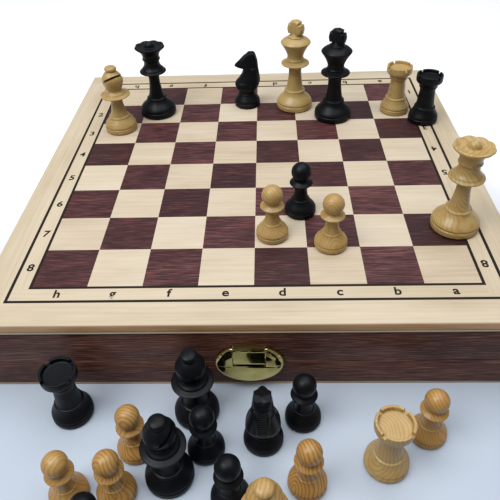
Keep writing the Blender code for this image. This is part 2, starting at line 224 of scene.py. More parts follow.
@dataclass(frozen=True)
class Boxwood(Finish):
    """Turned boxwood under clear lacquer: growth rings cut through at every angle.

    The eye gets honey-coloured circles on a ball's crown, long flames down a stem, and a
    different figure on each man, because each was cut from another place in the log.

    Attributes:
        pale: Early wood.
        middle: Body colour.
        ring: The thin late-wood line of each year.
        ring_width: Radial spacing of the rings, in mm.
        fibre: Width of the fine fibres, in mm.
        fibre_depth: Depth of the fibres, in mm.
        bend: How far the slow noise bends the rings, in mm.
    """

    pale: str = "#b39a62"
    middle: str = "#ab8347"
    ring: str = "#844b1b"
    ring_width: float = 2.2
    fibre: float = 0.5
    fibre_depth: float = 0.012
    bend: float = 9.0

    def build(self) -> bpy.types.Material:
        """Make rings as a saw-tooth of the distance from the pith, bent by a slow noise.

        Returns:
            The material.
        """
        made, tree, shader = self.start()
        grain = add_node(tree, "ShaderNodeAttribute", {"attribute_name": "grain"})
        look = add_node(tree, "ShaderNodeAttribute", {"attribute_name": "look"})
        share = add_node(tree, "ShaderNodeSeparateXYZ", None, {0: look.outputs["Vector"]})
        slow = add_node(tree, "ShaderNodeTexNoise", None,
                        {"Vector": grain.outputs["Vector"], "Scale": 0.045, "Detail": 2.0})
        bend = add_node(tree, "ShaderNodeMath", {"operation": "MULTIPLY"},
                        {0: slow.outputs[0], SECOND: self.bend})
        flat = add_node(tree, "ShaderNodeVectorMath", {"operation": "MULTIPLY"},
                        {0: grain.outputs["Vector"], SECOND: (1.0, 1.0, 0.0)})
        radius = add_node(tree, "ShaderNodeVectorMath", {"operation": "LENGTH"}, {0: flat.outputs[0]})
        bent = add_node(tree, "ShaderNodeMath", {"operation": "ADD"},
                        {0: radius.outputs["Value"], SECOND: bend.outputs[0]})
        years = add_node(tree, "ShaderNodeMath", {"operation": "DIVIDE"},
                         {0: bent.outputs[0], SECOND: self.ring_width})
        tooth = add_node(tree, "ShaderNodeMath", {"operation": "FRACT"}, {0: years.outputs[0]})
        line = add_node(tree, "ShaderNodeValToRGB", None, {"Fac": tooth.outputs[0]},
                        [(0.0, srgb("#404040")), (0.4, srgb("#202020")), (0.72, srgb("#f8f8f8")),
                         (1.0, srgb("#404040"))])
        stretched = add_node(tree, "ShaderNodeMapping", None,
                             {"Vector": grain.outputs["Vector"],
                              "Scale": (1 / self.fibre, 1 / self.fibre, 0.06 / self.fibre)})
        fibres = add_node(tree, "ShaderNodeTexNoise", None,
                          {"Vector": stretched.outputs[0], "Scale": 1.0, "Detail": 3.0, "Roughness": 0.6})
        patchy = add_node(tree, "ShaderNodeTexNoise", None,
                          {"Vector": grain.outputs["Vector"], "Scale": 0.09, "Detail": 3.0,
                           "Roughness": 0.6})
        body_mix = add_node(tree, "ShaderNodeMath", {"operation": "ADD"},
                            {0: patchy.outputs[0], SECOND: share.outputs[0]})
        body = add_node(tree, "ShaderNodeValToRGB", None, {"Fac": body_mix.outputs[0]},
                        [(0.3, srgb(self.pale)), (0.75, srgb(self.middle))])
        weight = add_node(tree, "ShaderNodeMath", {"operation": "MULTIPLY"},
                          {0: line.outputs[0], SECOND: share.outputs[1]})
        flecked = add_node(tree, "ShaderNodeMath", {"operation": "MULTIPLY"},
                           {0: weight.outputs[0], SECOND: fibres.outputs[0]})
        doubled = add_node(tree, "ShaderNodeMath", {"operation": "MULTIPLY"},
                           {0: flecked.outputs[0], SECOND: 1.9})
        colour = add_node(tree, "ShaderNodeMix", {"data_type": "RGBA"},
                          {MIX_FACTOR: doubled.outputs[0], MIX_A: body.outputs[0], MIX_B: srgb(self.ring)})
        tree.links.new(colour.outputs[MIX_RESULT], shader.inputs["Base Color"])
        raised = add_node(tree, "ShaderNodeBump", None,
                          {"Distance": self.fibre_depth * MM, "Height": fibres.outputs[0]})
        tree.links.new(raised.outputs["Normal"], shader.inputs["Normal"])
        return made


@dataclass(frozen=True)
class BlackLacquer(Finish):
    """Hardwood stained and sprayed satin black.

    The eye gets near-black with a cool sheen, faint turning rings and fibres under the film.

    Attributes:
        body: Film colour.
        worn: Slightly greyer colour where the film is thin over the fibres.
        fibre_depth: Height of the fibres that show through, in mm.
    """

    body: str = "#07090c"
    worn: str = "#121419"
    fibre_depth: float = 0.05

    def build(self) -> bpy.types.Material:
        """Make the film: fibres drive a small change of colour and of height.

        Returns:
            The material.
        """
        made, tree, shader = self.start()
        grain = add_node(tree, "ShaderNodeAttribute", {"attribute_name": "grain"})
        stretched = add_node(tree, "ShaderNodeMapping", None,
                             {"Vector": grain.outputs["Vector"], "Scale": (1.7, 1.7, 0.12)})
        fibres = add_node(tree, "ShaderNodeTexNoise", None,
                          {"Vector": stretched.outputs[0], "Scale": 1.0, "Detail": 4.0, "Roughness": 0.65})
        colour = add_node(tree, "ShaderNodeValToRGB", None, {"Fac": fibres.outputs[0]},
                          [(0.35, srgb(self.body)), (0.75, srgb(self.worn))])
        tree.links.new(colour.outputs[0], shader.inputs["Base Color"])
        raised = add_node(tree, "ShaderNodeBump", None,
                          {"Distance": self.fibre_depth * MM, "Height": fibres.outputs[0]})
        tree.links.new(raised.outputs["Normal"], shader.inputs["Normal"])
        return made


@dataclass(frozen=True)
class Ink(Finish):
    """Burnt-brown ink pressed into the veneer: a flat dark line with softly uneven cover.

    Attributes:
        body: Ink colour.
        thin: Colour where the ink is thin.
    """

    body: str = "#1a120c"
    thin: str = "#2e2118"

    def build(self) -> bpy.types.Material:
        """Make the ink with a speckle half a millimetre across.

        Returns:
            The material.
        """
        made, tree, shader = self.start()
        place = add_node(tree, "ShaderNodeTexCoord")
        speckle = add_node(tree, "ShaderNodeTexNoise", None,
                           {"Vector": place.outputs["Object"], "Scale": 2000.0, "Detail": 2.0})
        colour = add_node(tree, "ShaderNodeValToRGB", None, {"Fac": speckle.outputs[0]},
                          [(0.4, srgb(self.body)), (0.8, srgb(self.thin))])
        tree.links.new(colour.outputs[0], shader.inputs["Base Color"])
        return made


@dataclass(frozen=True)
class Brass(Finish):
    """Pressed sheet brass, polished and lacquered.

    The eye gets a greenish-gold mirror with faint polishing haze.

    Attributes:
        body: Metal colour.
        haze: Colour of the slightly tarnished clouds.
        haze_size: Size of the clouds, in mm.
        haze_depth: How far the clouds undulate, in mm.
    """

    body: str = "#cbbf7a"
    haze: str = "#b0a05c"
    haze_size: float = 9.0
    haze_depth: float = 0.05

    def build(self) -> bpy.types.Material:
        """Make the metal; a slow noise moves its colour, a fine one its height.

        Returns:
            The material.
        """
        made, tree, shader = self.start()
        shader.inputs["Metallic"].default_value = 1.0
        place = add_node(tree, "ShaderNodeTexCoord")
        clouds = add_node(tree, "ShaderNodeTexNoise", None,
                          {"Vector": place.outputs["Object"], "Scale": 1 / (self.haze_size * MM),
                           "Detail": 3.0})
        colour = add_node(tree, "ShaderNodeValToRGB", None, {"Fac": clouds.outputs[0]},
                          [(0.35, srgb(self.body)), (0.75, srgb(self.haze))])
        tree.links.new(colour.outputs[0], shader.inputs["Base Color"])
        raised = add_node(tree, "ShaderNodeBump", None,
                          {"Distance": self.haze_depth * MM, "Height": clouds.outputs[0]})
        tree.links.new(raised.outputs["Normal"], shader.inputs["Normal"])
        return made


class Slot(Enum):
    """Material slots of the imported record."""

    MAPLE = "maple_veneer"
    MAHOGANY = "mahogany_veneer"
    PLYWOOD = "birch_plywood"
    BRASS = "polished_brass"
    WHITE = "boxwood_lacquered"
    BLACK = "black_lacquer"


@dataclass(frozen=True)
class Palette:
    """Every finish of the set, each a built material.

    Attributes:
        light_square: Pale squares.
        dark_square: Dark squares.
        border: Border of the upper face, and the lower ply's edge.
        edge: Sawn edge of the upper ply.
        core: Plain panels seen inside the casket.
        wall: Frame rails.
        ink: Lines and lettering.
        brass: Clasp and hinges.
        white: Pale men.
        black: Dark men.
    """

    light_square: bpy.types.Material
    dark_square: bpy.types.Material
    border: bpy.types.Material
    edge: bpy.types.Material
    core: bpy.types.Material
    wall: bpy.types.Material
    ink: bpy.types.Material
    brass: bpy.types.Material
    white: bpy.types.Material
    black: bpy.types.Material

    @classmethod
    def build(cls) -> "Palette":
        """Mix every finish.

        Returns:
            The palette.
        """
        satin = {"roughness": 0.5, "coat": 0.14, "coat_roughness": 0.2, "specular": 0.35}
        return cls(
            # Sliced maple, bleached: a calm cream with thin wisps
            light_square=Veneer("maple_veneer_sliced", **satin, pale="#d2c4ad", middle="#c5b59d",
                                dark="#b29f82",
                                streak_width=2.2, streak_length=60, cloud=26, contrast=0.45,
                                tone_range=0.2).build(),
            # Sliced mahogany, stained: purple brown with close streaks
            dark_square=Veneer("mahogany_veneer_sliced", **satin, pale="#7c4a48", middle="#371719",
                               dark="#1c0a0b",
                               streak_width=0.7, streak_length=18, cloud=30, contrast=1.0, cloudiness=0.15,
                               tone_range=0.12, pore_depth=0.05).build(),
            # Border strip of plain maple, left a little greyer
            border=Veneer("maple_border_veneer_sliced", **satin, pale="#cfc1a9", middle="#c1b196",
                          dark="#ac9a7c",
                          streak_width=2.4, streak_length=90, cloud=30, contrast=0.45,
                          tone_range=0.15).build(),
            # Sawn edge of the panel
            edge=Veneer("maple_edge_sawn", roughness=0.5, coat=0.15, coat_roughness=0.3, pale="#dab083",
                        middle="#c89868", dark="#a5764c", streak_width=1.2, streak_length=40, cloud=20,
                        contrast=0.5).build(),
            # Birch plies of the underside, in darker colours than the panel's maple
            core=Veneer("birch_plywood_sawn", roughness=0.6, pale="#c4b29a", middle="#ab9479",
                        dark="#8b745b",
                        streak_width=1.8, streak_length=70, cloud=40, contrast=0.5).build(),
            # Frame of dark stained mahogany: short pale streaks on red brown, polished enough to mirror the
            # men
            wall=Veneer("mahogany_frame_veneer_sliced", roughness=0.55, coat=0.16, coat_roughness=0.12,
                        specular=0.2,
                        pale="#a67562", middle="#4a2418", dark="#1c0b07", streak_width=0.5, streak_length=26,
                        cloud=36, contrast=1.0, cloudiness=0.2, tone_range=0.08, pore_depth=0.05).build(),
            ink=Ink("burnt_ink_pressed", roughness=0.6, specular=0.2).build(),
            brass=Brass("brass_sheet_polished", roughness=0.1).build(),
            white=Boxwood("boxwood_turned_lacquered", roughness=0.42, coat=0.28, coat_roughness=0.2,
                          specular=0.3).build(),
            black=BlackLacquer("hardwood_sprayed_black", roughness=0.42, coat=0.04, coat_roughness=0.2,
                               specular=0.15).build(),
        )


# ---------------------------------------------------------------------------------------------
# Surfaces
# ---------------------------------------------------------------------------------------------
@dataclass
class Shell:
    """One closed surface.

    Attributes:
        points: Corner positions in mm.
        quads: Four-cornered faces.
        triangles: Three-cornered faces.
        grain: Where each corner lies in its board, in mm, X along the fibres.
        zone: Each face's material number, quads first.
        shift: Each face's own move through the board, in mm.
        turned: Which faces have their grain turned a quarter.
        tone: Each face's leaf tone.
    """

    points: Array
    quads: Array
    triangles: Array
    grain: Array | None = None
    zone: Array | None = None
    shift: Array | None = None
    turned: Array | None = None
    tone: Array | None = None

    def count(self) -> int:
        """Number of faces."""
        return len(self.quads) + len(self.triangles)

    def outward(self) -> "Shell":
        """Turn every face over if the enclosed volume comes out negative.

        The volume is the sum over triangles of one sixth of the corners' triple product.

        Returns:
            The shell itself.
        """
        fans = np.vstack([self.triangles, self.quads[:, [0, 1, 2]], self.quads[:, [0, 2, 3]]])
        first, second, third = (self.points[fans[:, corner]] for corner in range(3))
        if np.einsum("ij,ij->i", first, np.cross(second, third)).sum() < 0:
            self.quads = self.quads[:, ::-1]
            self.triangles = self.triangles[:, ::-1]
        return self


def skin(grid: Array, ring: bool = False) -> Shell:
    """Close a grid of points into a shell.

    Columns wrap round. Rows either wrap round too, like a tyre, or end in poles: the first and the
    last row are then one point each, the mean of the row.

    Args:
        grid: Points, rows by columns by three.
        ring: Whether the rows wrap round.

    Returns:
        The closed shell.
    """
    rows, columns = grid.shape[:2]
    column = np.arange(columns)
    after = (column + 1) % columns
    if ring:
        row = np.arange(rows)[:, None]
        above = (row + 1) % rows
        quads = np.stack([row * columns + column, row * columns + after,
                          above * columns + after, above * columns + column], -1).reshape(-1, 4)
        return Shell(grid.reshape(-1, 3), quads, np.zeros((0, 3), int)).outward()
    points = np.vstack([grid[0].mean(0), grid[1:-1].reshape(-1, 3), grid[-1].mean(0)])
    row = 1 + np.arange(rows - 3)[:, None] * columns
    quads = np.stack([row + column, row + after, row + columns + after, row + columns + column],
                     -1).reshape(-1, 4)
    last, start = len(points) - 1, 1 + (rows - 3) * columns
    low = np.stack([np.zeros(columns, int), 1 + after, 1 + column], -1)
    high = np.stack([np.full(columns, last), start + column, start + after], -1)
    return Shell(points, quads, np.vstack([low, high])).outward()


def curve_through(points: list[tuple[float, float]] | Array, spacing: float) -> Array:
    """Run a smooth line through points and read it at equal steps.

    Each span is a cubic Hermite curve; the slope at a point is the mean of its two chords' slopes,
    each weighted by the other chord's length. Two points give a straight line. An end on the axis
    is mirrored across it, so that the curve crosses the axis squarely.

    Args:
        points: Two-dimensional points in mm.
        spacing: Step along the line in mm.

    Returns:
        The points of the line.
    """
    line = np.asarray(points, float)
    if len(line) > 2:
        mirror = np.array([-1.0, 1.0])
        before = line[1] * mirror if line[0, 0] == 0 else 2 * line[0] - line[1]
        behind = line[-2] * mirror if line[-1, 0] == 0 else 2 * line[-1] - line[-2]
        whole = np.vstack([before, line, behind])
    else:
        whole = np.vstack([2 * line[0] - line[1], line, 2 * line[1] - line[0]])
    length = np.linalg.norm(np.diff(whole, axis=0), axis=1)
    chord = np.diff(whole, axis=0) / length[:, None]
    slope = (chord[:-1] * length[1:, None] + chord[1:] * length[:-1, None]) / (length[:-1]
                                                                               + length[1:])[:, None]
    place = np.concatenate([[0.0], np.cumsum(length[1:-1])])
    steps = np.linspace(0, place[-1], max(2, int(place[-1] / spacing) + 1))
    span = np.clip(np.searchsorted(place, steps, side="right") - 1, 0, len(place) - 2)
    width = (place[span + 1] - place[span])[:, None]
    t = (steps[:, None] - place[span][:, None]) / width
    return ((2 * t**3 - 3 * t**2 + 1) * line[span] + (t**3 - 2 * t**2 + t) * width * slope[span]
            + (3 * t**2 - 2 * t**3) * line[span + 1] + (t**3 - t**2) * width * slope[span + 1])


def softened(line: Array, rounding: float, spacing: float, closed: bool = False) -> Array:
    """Round a line's corners: each point becomes the bell-weighted mean of its neighbours.

    Args:
        line: Points at equal steps.
        rounding: Width of the bell, in mm.
        spacing: The step, in mm.
        closed: Whether the line is a loop; if not, it ends on the axis and is mirrored there.

    Returns:
        As many points, with rounded corners.
    """
    reach = max(1, int(3 * rounding / spacing))
    weight = np.exp(-0.5 * (np.arange(-reach, reach + 1) * spacing / rounding) ** 2)
    weight /= weight.sum()
    if closed:
        padded = np.vstack([line[-reach:], line, line[:reach]])
    else:
        mirror = np.array([-1.0, 1.0])
        padded = np.vstack([line[1:reach + 1][::-1] * mirror, line, line[-reach - 1:-1][::-1] * mirror])
    return np.stack([np.convolve(padded[:, axis], weight, "valid") for axis in range(line.shape[1])], -1)


def spread(line: Array, levels: int, emphasis: float = 6.0) -> Array:
    """Pick points along a line, closer where it bends.

    The points are equally spaced in the sum of length and a multiple of the angle turned.

    Args:
        line: Dense points.
        levels: How many points to keep.
        emphasis: Millimetres of length that one radian counts for.

    Returns:
        The kept points.
    """
    step = np.diff(line, axis=0)
    length = np.linalg.norm(step, axis=1)
    heading = np.unwrap(np.arctan2(step[:, 1], step[:, 0]))
    bend = np.abs(np.gradient(heading))
    total = np.concatenate([[0.0], np.cumsum(length + emphasis * bend)])
    wanted = np.linspace(0, total[-1], levels)
    return np.stack([np.interp(wanted, total, line[:, axis]) for axis in range(line.shape[1])], -1)


def turning(runs: list[list[tuple[float, float]]], levels: int, rounding: float = 0.22) -> Array:
    """A lathe profile from runs of (radius, height) that meet at soft corners.

    Args:
        runs: Each run's points; it starts where the run before it ended.
        levels: How many levels to keep.
        rounding: How soft the corners are, in mm.

    Returns:
        Radius and height at each level, from the foot's centre to the top's centre.
    """
    spacing = 0.1
    pieces, end = [], None
    for run in runs:
        whole = run if end is None else [end, *run]
        pieces.append(curve_through(whole, spacing)[0 if end is None else 1:])
        end = whole[-1]
    dense = np.vstack(pieces)
    travel = np.concatenate([[0.0], np.cumsum(np.linalg.norm(np.diff(dense, axis=0), axis=1))])
    even = np.linspace(0, travel[-1], int(travel[-1] / spacing))
    dense = np.stack([np.interp(even, travel, dense[:, axis]) for axis in range(2)], -1)
    smooth = softened(dense, rounding, spacing)
    smooth[[0, -1], 0] = 0.0
    return spread(smooth, levels)


def revolved(profile: Array, angles: Array) -> Array:
    """Points of a turned surface: radius times cosine and sine of the angle, and the height."""
    radius, height = profile[:, :1], profile[:, 1:]
    return np.stack([radius * np.cos(angles), radius * np.sin(angles), height + 0 * angles], -1)


def even_angles(steps: int) -> Array:
    """Equal angles round a circle."""
    return np.arange(steps) * TAU / steps


def rounded_loop(half_x: float, half_y: float, corner: float, corner_steps: int = 4) -> Array:
    """A rectangle about the origin with round corners, as a loop of points.

    Each corner is a quarter circle whose centre stands the corner radius in from both sides.

    Args:
        half_x: Half the width.
        half_y: Half the height.
        corner: Corner radius.
        corner_steps: Steps in each quarter circle.

    Returns:
        The loop, counter-clockwise.
    """
    quarter = np.linspace(0, TAU / 4, corner_steps + 1)
    turn = (np.arange(4)[:, None] * TAU / 4 + quarter).ravel()
    side_x = np.repeat([1, -1, -1, 1], corner_steps + 1) * (half_x - corner)
    side_y = np.repeat([1, 1, -1, -1], corner_steps + 1) * (half_y - corner)
    return np.stack([side_x + corner * np.cos(turn), side_y + corner * np.sin(turn)], -1)


def cushioned(loop: Array, low: float, high: float, edge: float, steps: int = 4) -> Array:
    """A flat plate over a loop, with rounded rims, as a grid with a pole on each face.

    The loop shrinks towards its middle by the edge radius times one minus the sine, while the
    level moves by the edge radius times one minus the cosine, at both faces.

    Args:
        loop: Outline in the plate's plane.
        low: Level of one face.
        high: Level of the other.
        edge: Radius of the rims.
        steps: Steps round a rim.

    Returns:
        The grid: outline's first axis, outline's second axis, level.
    """
    middle = (loop.min(0) + loop.max(0)) / 2
    half = np.maximum((loop.max(0) - loop.min(0)) / 2, 1e-6)
    turn = np.linspace(0, TAU / 4, steps + 1)
    inset = edge * (1 - np.sin(turn))
    rise = edge * (1 - np.cos(turn))
    insets = np.concatenate([inset[:1], inset, inset[::-1], inset[:1]])
    levels = np.concatenate([[low], low + rise, high - rise[::-1], [high]])
    scale = (half[None] - insets[:, None]) / half[None]
    plane = middle + (loop[None] - middle) * scale[:, None, :]
    grid = np.concatenate([plane, np.broadcast_to(levels[:, None, None], plane.shape[:2] + (1,))], -1)
    grid[0, :, :2] = middle
    grid[-1, :, :2] = middle
    return grid


def carried(loops: Array, stations: Array, axis: int) -> Array:
    """Sections carried along an axis, with a pole at each end.

    Args:
        loops: Sections, stations by points by two, in the order of the two other axes.
        stations: Where each point of each section lies along the axis.
        axis: Which axis that is.

    Returns:
        The grid.
    """
    others = [other for other in range(3) if other != axis]
    grid = np.empty(loops.shape[:2] + (3,))
    grid[..., others] = loops
    grid[..., axis] = stations
    ends = [np.broadcast_to(grid[end].mean(0), grid[end].shape)[None] for end in (0, -1)]
    return np.concatenate([ends[0], grid, ends[1]])


def placed(shell: Shell, move: tuple[float, float, float] = (0, 0, 0), turn: float = 0.0) -> Shell:
    """Turn a shell about Z and move it, its grain staying with it.

    Args:
        shell: The shell, changed in place.
        move: Shift in mm.
        turn: Turn in degrees.

    Returns:
        The same shell.
    """
    if shell.grain is None:
        shell.grain = shell.points.copy()
    cosine, sine = math.cos(math.radians(turn)), math.sin(math.radians(turn))
    spin = np.array([[cosine, -sine, 0], [sine, cosine, 0], [0, 0, 1.0]])
    shell.points = shell.points @ spin.T + np.asarray(move, float)
    return shell


def make_piece(name: str, shells: list[Shell], finishes: list[bpy.types.Material], body: str,
               stands_for: list[str], look: tuple[float, float] = (0.0, 0.5),
               crease: float = 40.0) -> bpy.types.Object:
    """Join shells into one named object and hand it to the frame.

    Args:
        name: The piece's name.
        shells: Its closed surfaces, in mm.
        finishes: Materials, in the order of the shells' zone numbers.
        body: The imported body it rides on.
        stands_for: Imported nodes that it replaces.
        look: Leaf tone and strength of figure.
        crease: Angle in degrees above which an edge stays sharp.

    Returns:
        The object.
    """
    starts = np.concatenate([[0], np.cumsum([len(shell.points) for shell in shells])[:-1]])
    points = np.vstack([shell.points for shell in shells]) * MM
    grain = np.vstack([shell.points if shell.grain is None else shell.grain for shell in shells])
    faces: list[list[int]] = []
    zones, shifts, turned, tones = [], [], [], []
    for shell, start in zip(shells, starts):
        faces += (shell.quads + start).tolist() + (shell.triangles + start).tolist()
        total = shell.count()
        zones.append(np.zeros(total, int) if shell.zone is None else shell.zone)
        shifts.append(np.zeros((total, 3)) if shell.shift is None else shell.shift)
        turned.append(np.zeros(total, bool) if shell.turned is None else shell.turned)
        tones.append(np.zeros(total) if shell.tone is None else shell.tone)
    mesh = bpy.data.meshes.new(name)
    mesh.from_pydata(points, [], faces)
    for finish in finishes:
        mesh.materials.append(finish)
    mesh.polygons.foreach_set("material_index", np.concatenate(zones))
    mesh.polygons.foreach_set("use_smooth", np.ones(len(mesh.polygons), bool))
    corner_point = np.zeros(len(mesh.loops), int)
    mesh.loops.foreach_get("vertex_index", corner_point)
    sides = np.zeros(len(mesh.polygons), int)
    mesh.polygons.foreach_get("loop_total", sides)
    corner_face = np.repeat(np.arange(len(sides)), sides)
    along = grain[corner_point]
    swap = np.concatenate(turned)[corner_face]
    along[swap] = along[swap][:, [1, 0, 2]]
    along += np.vstack(shifts)[corner_face]
    looks = np.tile(np.array([look[0], look[1], 0.0]), (len(corner_point), 1))
    looks[:, 0] += np.concatenate(tones)[corner_face]
    for label, values in (("grain", along), ("look", looks)):
        attribute = mesh.attributes.new(label, "FLOAT_VECTOR", "CORNER")
        attribute.data.foreach_set("vector", values.astype(np.float32).ravel())
    mesh.set_sharp_from_angle(angle=math.radians(crease))
    mesh.validate()
    mesh.update()
    made = bpy.data.objects.new(name, mesh)
    bpy.context.scene.collection.objects.link(made)
    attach(made, body)
    if stands_for:
        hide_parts(*stands_for)
    LOG.info("%s: %d faces on %s", name, len(faces), body)
    return made


def box_mm(node: str) -> tuple[Array, Array]:
    """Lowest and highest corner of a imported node, in mm."""
    low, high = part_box(node)
    return np.array(low) / MM, np.array(high) / MM


# ---------------------------------------------------------------------------------------------
# Casket
# ---------------------------------------------------------------------------------------------
@dataclass
class BoardPanel:
    """The playing surface: squares, two inked lines and a border on a two-ply panel.

    Attributes:
        square: Side of one square.
        inner_line: Width of the line round the playing area.
        outer_start: Where the second line starts, outside the playing area.
        outer_end: Where it ends.
        rounding: Radius of the panel's edges.
        top_ply: Thickness of the veneered upper ply.
        joint: Visible gap between the plies.
        letter_height: Height of a capital or digit.
        letter_offset: Distance of the lettering's middle line from the playing area.
        letter_rise: Half the thickness of the ink.
        letter_bold: How much an outline is thickened.
        capital_share: Height of a capital as a share of the type size.
        face_depth: How far the border's veneer reaches down the rounded edge.
        seed: Seed of the leaves' tones and places.
    """

    palette: Palette
    square: float = 40.0
    inner_line: float = 2.3
    outer_start: float = 13.6
    outer_end: float = 16.0
    rounding: float = 1.3
    top_ply: float = 7.4
    joint: float = 0.05
    letter_height: float = 7.6
    letter_offset: float = 7.6
    letter_rise: float = 0.03
    letter_bold: float = 0.3
    capital_share: float = 0.73
    face_depth: float = 0.7
    seed: int = 11

    class Zone(Enum):
        """Material numbers on the upper ply."""

        LIGHT = 0
        DARK = 1
        BORDER = 2
        LINE = 3
        EDGE = 4

    def slab(self, low: float, high: float, half: float, cuts: Array) -> Shell:
        """A square slab whose upper face is divided at the given lines both ways.

        The section is a rounded rectangle with extra points at the cuts; it is carried along X
        and shrinks at both ends by the rounding times one minus the sine of the turn.

        Args:
            low: Lower level.
            high: Upper level.
            half: Half the side.
            cuts: Lines across the face, in rising order.

        Returns:
            The slab.
        """
        loop = rounded_loop(half, (high - low) / 2, self.rounding)
        steps = len(loop) // 4
        top = np.stack([cuts[::-1], np.full(len(cuts), (high - low) / 2)], -1)
        loop = np.vstack([loop[:steps], top, loop[steps:]])
        turn = np.linspace(0, TAU / 4, 5)
        inset = self.rounding * (1 - np.sin(turn))
        rise = self.rounding * (1 - np.cos(turn))
        insets = np.concatenate([inset, np.zeros(len(cuts)), inset[::-1]])
        stations = np.concatenate([-half + rise, cuts, half - rise[::-1]])
        extent = np.array([half, (high - low) / 2])
        loops = loop[None] * (1 - insets[:, None, None] / extent)
        grid = carried(loops, stations[:, None], 0)
        grid[..., 2] += (low + high) / 2
        return skin(grid)

    def build(self) -> list[bpy.types.Object]:
        """Lay the panel and print its lettering.

        Returns:
            The panel and the lettering.
        """
        low, high = box_mm("board_panel")
        half, top, under = high[0], high[2], low[2]
        field_half = 4 * self.square
        steps = np.array([field_half + self.inner_line, field_half + self.outer_start,
                          field_half + self.outer_end])
        cuts = np.concatenate([-steps[::-1], np.arange(-4, 5) * self.square, steps])
        upper = self.slab(top - self.top_ply, top, half, cuts)
        self.paint(upper, top, field_half)
        lower = self.slab(under, top - self.top_ply - self.joint, half - 0.1, np.zeros(1))
        lower.grain = lower.points + np.array([300.0, 40.0, 0.0])
        lower.zone = np.full(lower.count(), 5)
        look = self.palette
        panel = make_piece("board_panel_veneered", [upper, lower],
                           [look.light_square, look.dark_square, look.border, look.ink, look.edge,
                            look.border],
                           "lid", ["board_panel"])
        return [panel, self.lettering(top, field_half)]

    def paint(self, shell: Shell, top: float, field_half: float) -> None:
        """Give each face of the upper ply its veneer, leaf and tone from where its middle lies.

        Args:
            shell: The upper ply, changed in place.
            top: Level of its face.
            field_half: Half the side of the playing area.
        """
        corners = [shell.points[shell.quads], shell.points[shell.triangles]]
        middle = np.vstack([group.mean(1) for group in corners])
        face_up = np.concatenate([group[..., 2].min(1) for group in corners]) > top - 0.01
        column = np.floor((middle[:, 0] + field_half) / self.square).astype(int)
        row = np.floor((middle[:, 1] + field_half) / self.square).astype(int)
        reach = np.abs(middle[:, :2]).max(1)
        outside = reach - field_half
        zone = np.full(len(middle), self.Zone.BORDER.value)
        zone[outside < 0] = ((column + row) % 2 == 0)[outside < 0].astype(int)
        line = ((outside > 0) & (outside < self.inner_line)) | (
            (outside > self.outer_start) & (outside < self.outer_end))
        zone[line] = self.Zone.LINE.value
        zone[~face_up & (middle[:, 2] < top - self.face_depth)] = self.Zone.EDGE.value
        rng = np.random.default_rng(self.seed)
        leaf = rng.uniform(-1, 1, (10, 10))
        places = rng.uniform(-400, 400, (10, 10, 3))
        column, row = np.clip(column + 1, 0, 9), np.clip(row + 1, 0, 9)
        on_field = outside < 0
        shell.grain = shell.points.copy()
        shell.zone = zone
        shell.shift = np.where(on_field[:, None], places[column, row], 0.0)
        shell.tone = np.where(on_field, leaf[column, row], 0.0)
        shell.turned = ~on_field & (np.abs(middle[:, 0]) > np.abs(middle[:, 1]))

    def lettering(self, top: float, field_half: float) -> bpy.types.Object:
        """Print files and ranks round the field, the far and right ones facing the other way.

        Args:
            top: Level of the panel's face.
            field_half: Half the side of the playing area.

        Returns:
            The lettering.
        """
        shells = []
        line = field_half + self.letter_offset
        for place in range(8):
            along = (place - 3.5) * self.square
            file_mark, rank_mark = "hgfedcba"[place], "87654321"[place]
            for mark, x, y, turn in ((file_mark, along, -line, 0), (file_mark, along, line, 180),
                                     (rank_mark, -line, along, 0), (rank_mark, line, along, 180)):
                shells.append(self.glyph(mark, x, y, top, turn))
        return make_piece("board_lettering", shells, [self.palette.ink], "lid", [])

    def glyph(self, mark: str, x: float, y: float, top: float, turn: float) -> Shell:
        """One letter or digit as a thin closed solid that lies in the panel's surface.

        Args:
            mark: The letter or digit.
            x: Its middle across the board.
            y: Its middle along the board.
            top: Level of the panel's face.
            turn: Its turn in degrees.

        Returns:
            The solid.
        """
        text = bpy.data.curves.new("mark", "FONT")
        text.body, text.align_x, text.align_y = mark, "CENTER", "CENTER"
        text.size = self.letter_height / self.capital_share
        text.extrude = self.letter_rise
        text.offset = self.letter_bold
        text.resolution_u = 6
        holder = bpy.data.objects.new("mark", text)
        bpy.context.scene.collection.objects.link(holder)
        bpy.context.view_layer.update()
        mesh = bpy.data.meshes.new_from_object(holder.evaluated_get(bpy.context.evaluated_depsgraph_get()))
        mesh.calc_loop_triangles()
        points = np.zeros(len(mesh.vertices) * 3)
        mesh.vertices.foreach_get("co", points)
        triangles = np.zeros(len(mesh.loop_triangles) * 3, int)
        mesh.loop_triangles.foreach_get("vertices", triangles)
        bpy.data.objects.remove(holder)
        bpy.data.meshes.remove(mesh)
        shell = Shell(points.reshape(-1, 3), np.zeros((0, 4), int), triangles.reshape(-1, 3)).outward()
        return placed(shell, (x, y, top + self.letter_rise / 3), turn)


